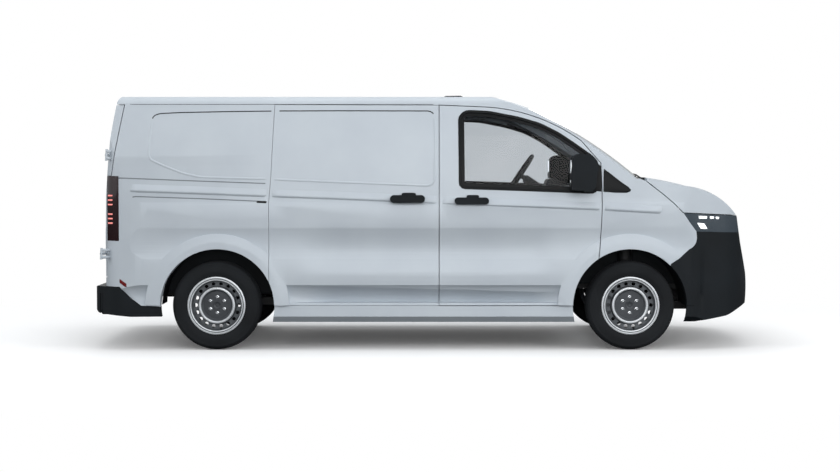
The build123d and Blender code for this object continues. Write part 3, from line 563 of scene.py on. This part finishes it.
# Shapes laid on the van's own skin
def dropped(node, points, axis="y"):
    """A grid of points moved along +Y or +X until they meet a node's skin. A point that misses takes
    the distance of its row."""
    column = "xyz".index(axis)
    start = points[0, 0, column]
    laid = modified(grid_mesh("scratch", points), "SHRINKWRAP", wrap_method="PROJECT", target=nodes[node],
                    use_project_x=axis == "x", use_project_y=axis == "y", use_positive_direction=True)
    grid = points_of(laid).reshape(points.shape)
    bpy.data.meshes.remove(laid)
    reach = grid[..., column]
    met = reach > start + LEAST_REACH
    row = np.where(met, reach, 0).sum(axis=1) / np.maximum(met.sum(axis=1), 1)
    some = met.any(axis=1)
    row = np.interp(np.arange(len(row)), np.flatnonzero(some), row[some])
    grid[..., column] = np.where(met, reach, row[:, None])
    return grid


def photo_point(x, y, half):
    """The (x, z) place on the near side of a picture point at a half width."""
    reach = (-CAMERA_PLACE[1] - half) / PHOTO_FOCAL
    return (CAMERA_PLACE[0] + (x - PHOTO_MIDDLE) * reach, CAMERA_PLACE[2] + (PHOTO_LEVEL - y) * reach)


def skin_strip(node, corners, lift, rows=12, columns=4):
    """A four-cornered patch seen from the right, dropped along the width onto a node's skin,
    its inside raised by the lift."""
    a, b, c, d = (np.asarray(corner, float) for corner in corners)
    u = np.linspace(0, 1, rows)[:, None, None]
    v = np.linspace(0, 1, columns)[None, :, None]
    flat = (a * (1 - u) + b * u) * (1 - v) + (d * (1 - u) + c * u) * v
    grid = dropped(node, on_side(flat, BESIDE_Y))
    grid[..., 1] -= patch_heights(rows, columns, lift)
    return grid


def laid_line(node, picture_path, profile, half):
    """A profile of (distance across, lift) carried along a picture path and dropped on a node's skin."""
    path = np.array([photo_point(x, y, half) for x, y in picture_path])
    path = resampled(path, max(8, int(distances(path)[-1] / PATH_STEP)))
    tangent = np.gradient(path, axis=0)
    tangent /= np.linalg.norm(tangent, axis=1)[:, None]
    across = np.stack([-tangent[:, 1], tangent[:, 0]], axis=1)
    profile = np.asarray(profile, float)
    flat = path[:, None] + across[:, None] * profile[None, :, :1]
    grid = dropped(node, on_side(flat, BESIDE_Y))
    grid[..., 1] -= profile[None, :, 1]
    grid[[0, -1], :, 1] += profile[:, 1] + END_DROP
    return grid


def rear_bead(path, profile):
    """A profile of (distance across, lift) carried round a closed (y, z) path and dropped on the right
    leaf."""
    profile = np.asarray(profile, float)
    flat = path[:, None] + outward(path)[:, None] * profile[None, :, :1]
    points = np.stack([np.full(flat.shape[:2], BEHIND_X), flat[..., 0], flat[..., 1]], axis=-1)
    grid = dropped("rear_door_right", points, "x")
    grid[..., 0] -= profile[None, :, 1]
    return grid


def on_hand(name, grid, side, **closing):
    """A mesh of a grid made for the right, or of its mirror image on the left."""
    return grid_mesh(name, grid * np.array([1, -side, 1]), **closing)


def both_sides(name, grids, finish, body):
    """Patches on the right and their mirror images on the left, as one piece."""
    meshes = [on_hand(name, grid, side, flip=side > 0) for grid in grids for _, side in SIDES]
    place_piece(name, joined(name, meshes), finish, body)


def mirrored_piece(name, grid, finish, body):
    """A laid line on the right, and its mirror image on the left, each riding its own body."""
    for hand, side in SIDES:
        mesh = on_hand(name, grid, side, flip=side > 0)
        ride = body if body == "body" else body + "_" + hand
        place_piece(name + "_" + hand, mesh, finish, ride, TRIM_SHARP)


# Frame nodes that keep their shape, each with its own finish, or else in paint; tyres and seats are made anew
finishes = {
    "floor_pan": floor_rubber, "scuttle_panel": black_plastic, "front_bumper": black_plastic,
    "grille": black_plastic, "slam_panel": chassis_paint, "head_lamps": head_lens, "tail_lamps": tail_lens,
    "rear_step": black_plastic, "wheel_houses": black_plastic, "chassis_rails": chassis_paint,
    "front_suspension": chassis_paint, "rear_axle": chassis_paint, "engine_block": cast_iron,
    "fuel_tank": cab_plastic, "exhaust": exhaust_steel, "dashboard": cab_plastic, "bulkhead": cab_plastic,
    "roof_pod": black_plastic, "sliding_door_handle": black_plastic, "steering_wheel": cab_plastic,
    "windscreen": glass, "door_glass_right": glass, "door_glass_left": glass,
    "mirror_right": black_plastic, "mirror_left": black_plastic, "door_handle_right": black_plastic,
    "door_handle_left": black_plastic, "rear_door_handle": black_plastic,
    "knuckle_right": hub_iron, "knuckle_left": hub_iron,
}
seat_nodes = {"driver_seat", "passenger_seat"}
for node in nodes:
    # Rim discs take the darker grey, painted shade for their recess
    if node.startswith("rim_"):
        smooth_copy(node, wheel_disc_painted_shade)
    elif not node.startswith("tyre_") and node not in seat_nodes:
        smooth_copy(node, finishes.get(node, paint))


# Tyres
def tyre_mesh(name, axle_x, side):
    """Tread and sidewall as one surface turned about the axle: the radius follows the section, and is
    lowered in four ring grooves and in slanting cross grooves that repeat 64 times round."""
    section = np.array([
        (0.203, -0.083), (0.217, -0.087), (0.219, -0.097), (0.228, -0.101), (0.240, -0.1035),
        (0.243, -0.1055), (0.262, -0.1068), (0.284, -0.1068), (0.300, -0.1045), (0.304, -0.1052),
        (0.312, -0.1000), (0.321, -0.0935), (0.3275, -0.0830)])
    tread_y = np.linspace(-TREAD_HALF, TREAD_HALF, 41)
    tread_r = TREAD_RADIUS - TREAD_CROWN * (np.abs(tread_y) / TREAD_HALF) ** 3
    radius = np.concatenate([section[:, 0], tread_r, section[::-1, 0]])
    across = np.concatenate([section[:, 1], tread_y, -section[::-1, 1]])
    turn = np.linspace(0, 2 * np.pi, 384, endpoint=False)[:, None]
    on_tread = np.zeros(len(radius))
    on_tread[len(section):-len(section)] = 1
    rings = sum(np.clip(1 - np.abs(across - place) / RING_GROOVE_HALF, 0, 1) for place in RING_GROOVES)
    # Both kinds of groove are clipped waves, with steep walls and a flat floor
    rings = np.clip(rings * 2.5, 0, 1) * on_tread
    phase = CROSS_GROOVES * turn + CROSS_SLANT * np.abs(across)[None, :]
    cross = np.clip(np.sin(phase) * 4 - 2.6, 0, 1) * on_tread * (np.abs(across) > MIDDLE_RIB_HALF)[None, :]
    reach = radius[None, :] - GROOVE_DEPTH * np.maximum(rings[None, :], 0.8 * cross)
    x = axle_x + reach * np.cos(turn)
    z = HUB_Z + reach * np.sin(turn)
    y = side * HALF_TRACK + side * across[None, :] + 0 * turn
    points = np.stack([x, y, z], axis=-1)
    return grid_mesh(name, points, closed_u=True, closed_v=True, flip=side < 0)


# Profiles turned about a wheel's axis, each point a radius and a distance outward
hub_cap = [(0.0001, 0.0475), (0.010, 0.0475), (0.013, 0.044), (0.022, 0.0495), (0.028, 0.0500),
           (0.0305, 0.0462)]
hub_ring = [(0.0305, 0.0462), (0.098, 0.0466), (0.1035, 0.0462)]
rim_rings = [
    [(0.1180, 0.0740), (0.1220, 0.0785), (0.1280, 0.0798), (0.1340, 0.0780), (0.1380, 0.0720),
     (0.1400, 0.0600), (0.1420, 0.0405)],
    [(0.1880, 0.0930), (0.1895, 0.0965), (0.1950, 0.0972), (0.1980, 0.0945)],
    [(0.2030, 0.0940), (0.2050, 0.0975), (0.2130, 0.0985), (0.2165, 0.0968), (0.2178, 0.0920)],
]
wheel_nut = [(0.0001, 0.0640), (0.0045, 0.0635), (0.0085, 0.0600), (0.0100, 0.0560), (0.0100, 0.0490),
             (0.0135, 0.0480), (0.0140, 0.0462)]
valve = [(0.0001, 0.0800), (0.0035, 0.0795), (0.0040, 0.0660), (0.0062, 0.0640), (0.0062, 0.0400)]


def hub_details(label, axle_x, side):
    """The hub's dark cap and ring, the rim's bright rings, six domed nuts and the valve of one wheel."""
    hub_y = side * HALF_TRACK
    centre = (axle_x, hub_y, HUB_Z)
    rings = [turned_mesh("ring", profile, centre, 96, side) for profile in rim_rings]
    nuts = []
    for turn in np.radians(90 + 60 * np.arange(6)):
        place = (axle_x + NUT_CIRCLE * np.cos(turn), hub_y, HUB_Z + NUT_CIRCLE * np.sin(turn))
        nuts.append(turned_mesh("nut", wheel_nut, place, 12, side))
    place = (axle_x + VALVE_OFFSET[0], hub_y, HUB_Z + VALVE_OFFSET[1])
    stem = turned_mesh("valve", valve, place, 10, side)
    for name, mesh, finish, slot in (
            ("hub_cap_", turned_mesh("cap", hub_cap, centre, 48, side), hub_iron, "wheel_steel"),
            ("hub_ring_", turned_mesh("ring", hub_ring, centre, 64, side), hub_iron, "wheel_steel"),
            ("rim_rings_", joined("rings", rings), wheel_silver, "wheel_steel"),
            ("wheel_nuts_", joined("nuts", nuts), nut_zinc, "wheel_steel"),
            ("valve_", stem, rubber_and_groove_shade, "tyre")):
        place_piece(name + label, mesh, finish, "wheel_" + label)


for end, axle_x in AXLES.items():
    for hand, side in SIDES:
        label = end + "_" + hand
        tyre = place_piece("road_tyre_" + label, tyre_mesh("tyre", axle_x, side), tyre_rubber,
                           "wheel_" + label, TYRE_SHARP)
        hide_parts("tyre_" + label)
        hub_details(label, axle_x, side)


# Side details round the windows and under the roof, on the right and mirrored on the left
window_line = rounded([
    (0.270, 1.222), (0.266, 1.745), (0.310, 1.783), (0.480, 1.776), (0.700, 1.733), (0.860, 1.686),
    (1.000, 1.615), (1.110, 1.540), (1.262, 1.432), (1.276, 1.186), (0.700, 1.208)], 0.035)
window_seal = [(0.016, 0.0002), (0.014, 0.0030), (0.004, 0.0034), (-0.002, 0.0010), (-0.003, -0.0100),
               (-0.006, -0.0125), (-0.030, -0.0130)]
door_sail_low = [(1.252, 1.171), (1.319, 1.171)]
door_sail_high = [(1.252, 1.440), (1.319, 1.392)]
sail_low = [(1.328, 1.171), (1.420, 1.169), (1.505, 1.174), (1.536, 1.190)]
sail_high = [(1.332, 1.376), (1.385, 1.334), (1.460, 1.270), (1.519, 1.226), (1.538, 1.202)]
roof_low = [(-2.250, 1.8380), (0.102, 1.8380)]
roof_high = [(-2.250, 1.8425), (0.102, 1.8425)]

for hand, side in SIDES:
    door = "front_door_" + hand
    seal = side_band("seal", window_line, window_seal, side)
    place_piece("window_seal_" + hand, seal, gloss_black, door)
    sail = side_sheet("sail", sail_low, sail_high, 0.0035, side)
    place_piece("corner_panel_" + hand, sail, gloss_black, "body")
    door_sail = side_sheet("door sail", door_sail_low, door_sail_high, 0.0035, side)
    place_piece("door_corner_panel_" + hand, door_sail, gloss_black, door)
    gutter = side_sheet("gutter", roof_low, roof_high, 0.0012, side)
    place_piece("roof_joint_" + hand, gutter, rubber_and_groove_shade, "body")


# Lines on the side panels: profiles as (distance across, lift), and paths in the photograph's pixels
thin_line = [(-0.0045, -0.001), (-0.0038, 0.0008), (0.0038, 0.0008), (0.0045, -0.001)]
rail_line = [(-0.0085, -0.001), (-0.0075, 0.0012), (0.0075, 0.0012), (0.0085, -0.001)]
soft_bead = [(-0.012, -0.001), (-0.007, 0.0014), (-0.002, 0.0032), (0.003, 0.0034), (0.006, 0.0018),
             (0.009, -0.001)]
shoulder_crease = [(-0.015, -0.001), (-0.0135, 0.0006), (-0.003, 0.0105), (0.002, 0.0118), (0.012, 0.0100),
                   (0.045, 0.0006), (0.048, -0.001)]
quarter_top = [(151.5, 120), (152.5, 117), (155, 114.6), (160, 113.4), (180, 112.4), (230, 111.4),
               (272.5, 110.9)]
quarter_rest = [(151.5, 122), (149.2, 148), (149.2, 156), (152, 160), (165, 166), (183, 173), (200, 176.8),
                (230, 177.9), (267.5, 178.8)]
slide_top = [(277.5, 110.8), (340, 110.6), (428, 110.8), (432, 111.8), (434.5, 115)]
slide_rest = [(274, 179.2), (340, 182.0), (400, 184.3), (428, 185.5), (432.5, 183.5), (434.5, 178),
              (435.2, 150), (434.6, 117)]
quarter_seam = [(119, 177.8), (190, 180.6), (267.5, 183.4)]
door_rail = [(132, 197.2), (136, 196.3), (200, 198.4), (267.5, 201.3)]
door_rail_end = [(257, 201.6), (267.5, 202.0)]
shoulder_lines = (
    ("body_side_right", "body", [(130, 190.2), (200, 192.6), (266.5, 195.3)]),
    ("sliding_door", "body", [(272, 195.5), (340, 197.9), (437, 202.0)]),
    ("front_door_right", "front_door", [(442.5, 202.2), (520, 205.4), (600, 208.6)]),
    ("front_wing_right", "body", [(604.5, 208.8), (640, 210.8), (662, 212.0)]))

for name, node, path, profile, finish, slot in (
        # Groove lines: near-black strips, painted shade for the shadow under the top edge of each recessed
        # panel
        ("quarter_drip_groove", "body_side_right", quarter_top, thin_line, rubber_and_groove_shade, "black_plastic"),
        ("quarter_pressing", "body_side_right", quarter_rest, soft_bead, paint, "body_paint"),
        ("side_door_drip_groove", "sliding_door", slide_top, thin_line, rubber_and_groove_shade, "black_plastic"),
        ("side_door_pressing", "sliding_door", slide_rest, soft_bead, paint, "body_paint"),
        # Seam and rail lines: mid grey strips, painted shade for the shadow in the seam and rail grooves
        ("quarter_seam", "body_side_right", quarter_seam, thin_line, seam_line_shade, "black_plastic"),
        ("door_rail", "body_side_right", door_rail, thin_line, seam_line_shade, "black_plastic"),
        ("door_rail_end", "body_side_right", door_rail_end, rail_line, rubber_and_groove_shade, "black_plastic")):
    mirrored_piece(name, laid_line(node, path, profile, PANEL_HALF), finish, "body")

for node, body, path in shoulder_lines:
    crease = laid_line(node, path, shoulder_crease, SHOULDER_HALF)
    mirrored_piece("shoulder_crease_" + node.removesuffix("_right"), crease, paint, body)

# Raised finger guards over the pull handles
guard_half = (0.995, 1.034)
side_door_guard = ((-0.172, -0.066), (1.150, 1.180))
front_door_guard = ((0.312, 0.404), (1.136, 1.163))
for name, body, side, (x_ends, z_ends) in (
        ("sliding_door_finger_guard_right", "body", -1, side_door_guard),
        ("front_door_finger_guard_right", "front_door_right", -1, front_door_guard),
        ("front_door_finger_guard_left", "front_door_left", 1, front_door_guard)):
    low, high = zip(x_ends, guard_half, z_ends)
    guard = side_box("guard", low, high, 4, side)
    place_piece(name, welded(guard), black_plastic, body, TRIM_SHARP)

# The left side, over the length that the sliding door takes on the right, closed up to the roof joint
cover_low = [(-1.130, 1.7900), (0.104, 1.7900)]
cover_high = [(-1.130, 1.8390), (0.104, 1.8390)]
cover = side_sheet("cover", cover_low, cover_high, 0.0008, 1)
place_piece("left_roof_side", cover, paint, "body")

# Corners of the rear step, closed behind its turned ends
for hand, side in SIDES:
    corners = [side_box("corner", (-2.378, 0.880, 0.262), (-2.290, 0.956, 0.470), 6, side),
               side_box("corner", (-2.436, 0.830, 0.262), (-2.360, 0.919, 0.470), 6, side)]
    place_piece("rear_step_corner_" + hand, welded(joined("corner", corners)), black_plastic, "body",
                TRIM_SHARP)


# Rear doors: a window-shaped pressing above and a shallow panel below on each leaf
leaf_bead = [(-0.012, -0.001), (-0.007, 0.0016), (-0.002, 0.0036), (0.003, 0.0036), (0.007, 0.0016),
             (0.012, -0.001)]
upper_leaf = [(-0.830, 1.160), (-0.090, 1.160), (-0.090, 1.745), (-0.770, 1.745), (-0.815, 1.500)]
lower_leaf = [(-0.850, 0.640), (-0.090, 0.640), (-0.090, 0.940), (-0.850, 0.940)]
for name, corners in (("upper", upper_leaf), ("lower", lower_leaf)):
    grid = rear_bead(rounded(corners, 0.060), leaf_bead)
    for hand, side in SIDES:
        mesh = on_hand(name, grid, side, closed_u=True, flip=side < 0)
        place_piece(name + "_leaf_pressing_" + hand, mesh, paint, "rear_door_" + hand,
                    TRIM_SHARP)

# Radiator behind the intake: upright fins 7 mm apart between two tanks
folds = 229
fin_depth = 0.006
core_levels = (0.365, 0.830)
fin_y = np.linspace(-0.40, 0.40, folds)
fin_x = 2.283 - fin_depth * (np.arange(folds) % 2)
core = np.stack([np.stack([fin_x, fin_y, np.full(folds, z)], axis=-1) for z in core_levels], axis=1)
place_piece("radiator_core", grid_mesh("core", core, flip=True), chassis_paint, "body")
tanks = [box_mesh("tank", (2.245, -0.42, z - 0.022), (2.288, 0.42, z + 0.022), 12) for z in (0.360, 0.835)]
place_piece("radiator_tanks", welded(joined("tanks", tanks)), black_plastic, "body")


# Lamps and reflectors: lit bars by their corners in the photograph's pixels, reflectors by (x, z)
lamp_bars = [
    [(698, 219), (707, 219), (707, 215.5), (697, 215.0)],
    [(710, 219), (714, 219), (714.5, 216), (709, 215.8)],
    [(716.5, 219.5), (719.5, 219.5), (720, 216.5), (715.5, 216.2)],
    [(701, 230), (708.5, 230), (703, 222), (694.5, 221)],
]
lit = []
for bar in lamp_bars:
    corners = [photo_point(*corner, HEAD_LAMP_HALF) for corner in bar]
    lit.append(skin_strip("head_lamps", corners, 0.0022))
both_sides("lamp_elements", lit, lamp_light, "body")

bar_rows = (195.5, 200.0, 204.5, 214.0, 218.5, 223.0)
bar_rear, bar_front, bar_half = 107.2, 113.4, 1.1
tail_bars = []
for y in bar_rows:
    below, above = y + bar_half, y - bar_half
    bar = [(bar_rear, below), (bar_front, below), (bar_front, above), (bar_rear, above)]
    corners = [photo_point(*corner, TAIL_LAMP_HALF) for corner in bar]
    tail_bars.append(skin_strip("tail_lamps", corners, 0.002))
both_sides("tail_bars", tail_bars, red_light, "body")

reflector = [(-2.285, 0.500), (-2.225, 0.455), (-2.225, 0.505), (-2.285, 0.545)]
reflector_grid = skin_strip("rear_bumper", reflector, 0.002)
both_sides("rear_reflectors", [reflector_grid], red_reflector, "body")


# Mirror glass, set in the back of each mirror head
for hand, side in SIDES:
    pane = side_box("pane", (1.0795, 1.014, 1.235), (1.0835, 1.118, 1.420), 10, side)
    place_piece("mirror_glass_" + hand, welded(pane), mirror_glass, "front_door_" + hand)


# Wipers, lying on the foot of the windscreen: a blade, and an arm from its pivot to the blade's middle
def screen_x(y, z):
    """The windscreen's outer face: a parabola across, leaning back with height."""
    return SCREEN_X - SCREEN_CURVE * y**2 - SCREEN_LEAN * (z - SCREEN_Z)


t = np.linspace(0, 1, 25)
blade_radii = np.interp(t, [0, 0.04, 0.96, 1], [0.0005, 0.0055, 0.0055, 0.0005])
arm_radii = np.interp(t, [0, 0.02, 0.10, 1], [0.0005, 0.0085, 0.0070, 0.0045])
for hand, y_ends, z_ends, pivot_y in (("right", (-0.700, -0.060), (1.300, 1.308), -0.560),
                                      ("left", (0.020, 0.640), (1.306, 1.316), 0.110)):
    y = y_ends[0] + (y_ends[1] - y_ends[0]) * t
    z = z_ends[0] + (z_ends[1] - z_ends[0]) * t
    blade = np.stack([screen_x(y, z) + 0.005, y, z + 0.006], axis=1)
    middle = blade[len(blade) // 2] + (0.001, 0, 0.002)
    pivot = np.array([screen_x(pivot_y, 1.284) + 0.014, pivot_y, 1.286])
    arm = pivot + (middle - pivot) * t[:, None]
    parts = [swept_bar("blade", blade, blade_radii), swept_bar("arm", arm, arm_radii)]
    place_piece("wiper_" + hand, joined("wiper", parts), black_plastic, "body", TRIM_SHARP)


# Rear door hinges: on the leaning hinge line, two arms and a pin on the body and one arm on each leaf.
# Each point of an arm lies forward and inward of the pin, each point of the pin forward and up
arm_points = [(0, 0), (0.030, 0.015), (0.075, 0.055)]
pin_points = [(-0.0024, -0.044), (-0.0023, -0.043), (0.0023, 0.043), (0.0024, 0.044)]
leaf_points = [(0, 0), (0.006, 0.030), (0.018, 0.070), (0.026, 0.130)]
for hand, side in SIDES:
    fixed, moving = [], []
    for z in HINGE_HEIGHTS:
        pin_x = HINGE_FOOT[0] + HINGE_LEAN * (z - HINGE_FOOT[2])
        pin_y = side * HINGE_FOOT[1]
        for lift in (-0.026, 0.026):
            path = [(pin_x + forward, pin_y - side * inward, z + lift) for forward, inward in arm_points]
            fixed.append(swept_bar("arm", path, [0.0125, 0.0110, 0.0110]))
        path = [(pin_x + forward, pin_y, z + up) for forward, up in pin_points]
        fixed.append(swept_bar("pin", path, [0.0005, 0.0095, 0.0095, 0.0005]))
        path = [(pin_x + forward, pin_y - side * inward, z) for forward, inward in leaf_points]
        moving.append(swept_bar("leaf", path, [0.0130, 0.0115, 0.0110, 0.0100]))
    place_piece("rear_hinge_arms_" + hand, joined("arms", fixed), paint, "body", TRIM_SHARP)
    place_piece("rear_hinge_leaf_" + hand, joined("leaves", moving), paint, "rear_door_" + hand,
                TRIM_SHARP)


# Seats: crowned cushions of woven cloth over a moulded base
def cushion(name, low, high, crown, lean=0.0):
    """A padded block: a superellipsoid of power 5, thinner by the crown toward both sides, leaning back
    with height. Two sewn channels run over it from front to back as shallow grooves."""
    u = np.linspace(0, 2 * np.pi, 96, endpoint=False)[:, None]
    v = np.linspace(-np.pi / 2, np.pi / 2, 65)[None, :]
    shape = np.stack([np.cos(v) * np.cos(u), np.cos(v) * np.sin(u), np.sin(v) + 0 * u], axis=-1)
    shape *= (np.abs(shape) ** 5).sum(axis=-1, keepdims=True) ** (-1 / 5)
    low, high = np.asarray(low, float), np.asarray(high, float)
    half, centre = (high - low) / 2, (high + low) / 2
    across = shape[..., 1:2]
    swell = 1 - crown * across**2
    grooves = np.exp(-(((np.abs(across) - CHANNEL_PLACE) / CHANNEL_WIDTH) ** 2))
    local = shape * half * np.concatenate([swell, np.ones_like(swell), swell], axis=-1)
    for axis in (0, 2):
        local[..., axis] -= CHANNEL_DEPTH * grooves[..., 0] * np.sign(shape[..., axis])
    points = local + centre
    points[..., 0] -= lean * (points[..., 2] - low[2])
    return grid_mesh(name, points, closed_u=True)


for label, centre_y in (("driver", 0.385), ("passenger", -0.385)):
    right, left = centre_y - SEAT_HALF, centre_y + SEAT_HALF
    base = cushion("cushion", (0.125, right, 0.650), (0.585, left, 0.762), 0.10)
    back = cushion("back", (0.070, right + 0.01, 0.720), (0.185, left - 0.01, 1.268), 0.12, 0.10)
    head = cushion("head", (0.012, centre_y - 0.125, 1.292), (0.092, centre_y + 0.125, 1.468), 0.12)
    seat = place_piece(label + "_seat_cushion", welded(base), cloth, "body", CUSHION_SHARP)
    back_rest = place_piece(label + "_seat_back", welded(back), cloth, "body", CUSHION_SHARP)
    head_rest = place_piece(label + "_head_rest", welded(head), cloth, "body", CUSHION_SHARP)
    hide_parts(label + "_seat")
    plinth = box_mesh("plinth", (0.130, centre_y - 0.20, 0.561), (0.500, centre_y + 0.20, 0.668), 12)
    place_piece(label + "_seat_base", welded(plinth), cab_plastic, "body")
    stalks = []
    for stalk_y in (centre_y - 0.05, centre_y + 0.05):
        path = [(0.050, stalk_y, z) for z in (1.240, 1.275, 1.310)]
        stalks.append(swept_bar("stalk", path, [0.006, 0.006, 0.006]))
    place_piece(label + "_head_stalks", joined("stalks", stalks), nut_zinc, "body")


# Studio
def studio_floor():
    """A floor that the camera sees as white with the van's soft shadow on it, and that fades to plain
    white away from the van. Other rays meet it grey, so it throws little light up."""
    made, tree, shader, place = material("studio_floor")
    set_values(shader, Roughness=1.0, Specular_IOR_Level=0.0)
    white = linear("FFFFFF")
    camera_ray = add(tree, "ShaderNodeLightPath").outputs["Is Camera Ray"]
    # The mix's colours go in at 6 and 7 and come out at 2
    tone = add(tree, "ShaderNodeMix", [(0, camera_ray)], data_type="RGBA")
    tone.inputs[6].default_value = linear("5A5C5E")
    tone.inputs[7].default_value = white
    tree.links.new(tone.outputs[2], shader.inputs["Base Color"])
    scaled = add(tree, "ShaderNodeMath", [(0, camera_ray)], operation="MULTIPLY")
    scaled.inputs[1].default_value = FLOOR_GLOW
    lift = add(tree, "ShaderNodeEmission", [("Strength", scaled.outputs["Value"])], Color=white)
    near = add(tree, "ShaderNodeAddShader", [(0, shader.outputs["BSDF"]), (1, lift.outputs["Emission"])])
    far = add(tree, "ShaderNodeEmission", [("Strength", camera_ray)], Color=white)
    squeeze = add(tree, "ShaderNodeMapping", [("Vector", place)], Scale=(FADE_SQUEEZE, 1.0, 1.0))
    distance = add(tree, "ShaderNodeVectorMath", [(0, squeeze.outputs["Vector"])], operation="LENGTH")
    fade = add(tree, "ShaderNodeMapRange", [("Value", distance.outputs["Value"])],
               interpolation_type="SMOOTHSTEP", From_Min=FLOOR_FADE[0], From_Max=FLOOR_FADE[1])
    mix = add(tree, "ShaderNodeMixShader", [
        ("Fac", fade.outputs["Result"]), (1, near.outputs["Shader"]), (2, far.outputs["Emission"])])
    tree.links.new(mix.outputs["Shader"], tree.nodes["Material Output"].inputs["Surface"])
    edges = (-FLOOR_HALF, FLOOR_HALF)
    corners = np.array([[(x, y, 0) for y in edges] for x in edges], float)
    mesh = grid_mesh("studio_floor", corners)
    mesh.materials.append(made)
    floor = new_object("studio_floor", mesh)


def studio_world():
    """A pale sky that lights the van, and that shows as plain white directly and through glass."""
    world = bpy.data.worlds.new("studio")
    bpy.context.scene.world = world
    world.use_nodes = True
    tree = world.node_tree
    sky = tree.nodes["Background"]
    set_values(sky, Color=linear("F2F5F8"), Strength=SKY_STRENGTH)
    white = add(tree, "ShaderNodeBackground", Color=linear("FFFFFF"), Strength=1.0)
    ray = add(tree, "ShaderNodeLightPath")
    seen = add(tree, "ShaderNodeMath", [
        (0, ray.outputs["Is Camera Ray"]), (1, ray.outputs["Is Transmission Ray"])], operation="MAXIMUM")
    mix = add(tree, "ShaderNodeMixShader", [
        ("Fac", seen.outputs["Value"]), (1, sky.outputs["Background"]), (2, white.outputs["Background"])])
    tree.links.new(mix.outputs["Shader"], tree.nodes["World Output"].inputs["Surface"])


def soft_light(name, place, target, size, power):
    """A square area light facing a point, not seen through the glass."""
    data = bpy.data.lights.new(name, "AREA")
    data.size = size
    data.energy = power
    lamp = new_object(name, data)
    lamp.visible_transmission = False
    lamp.location = place
    lamp.rotation_euler = (lamp.location - type(lamp.location)(target)).to_track_quat("Z", "Y").to_euler()


studio_floor()
studio_world()
soft_light("overhead", (0, 0, 7.5), (0, 0, 1), 7.0, 220)
soft_light("near_side", (1.0, -10.5, 2.4), (0.5, 0, 1.1), 8.0, 610)
soft_light("front_side", (9.0, -5.5, 3.6), (1.5, 0, 1.0), 5.0, 330)
soft_light("far_side", (-1.5, 10.5, 3.2), (0, 0, 1.2), 8.0, 420)
soft_light("rear_side", (-9.5, -4.0, 3.6), (-1.5, 0, 1.0), 4.0, 220)

camera_data = bpy.data.cameras.new("photo_camera")
camera_data.lens = CAMERA_LENS
camera_data.sensor_width = CAMERA_SENSOR
camera_data.clip_end = 200
camera = new_object("photo_camera", camera_data)
camera.location = CAMERA_PLACE
camera.rotation_euler = (np.radians(90 - CAMERA_DOWN), 0, 0)
bpy.context.scene.camera = camera
bpy.context.scene.view_settings.view_transform = "Standard"
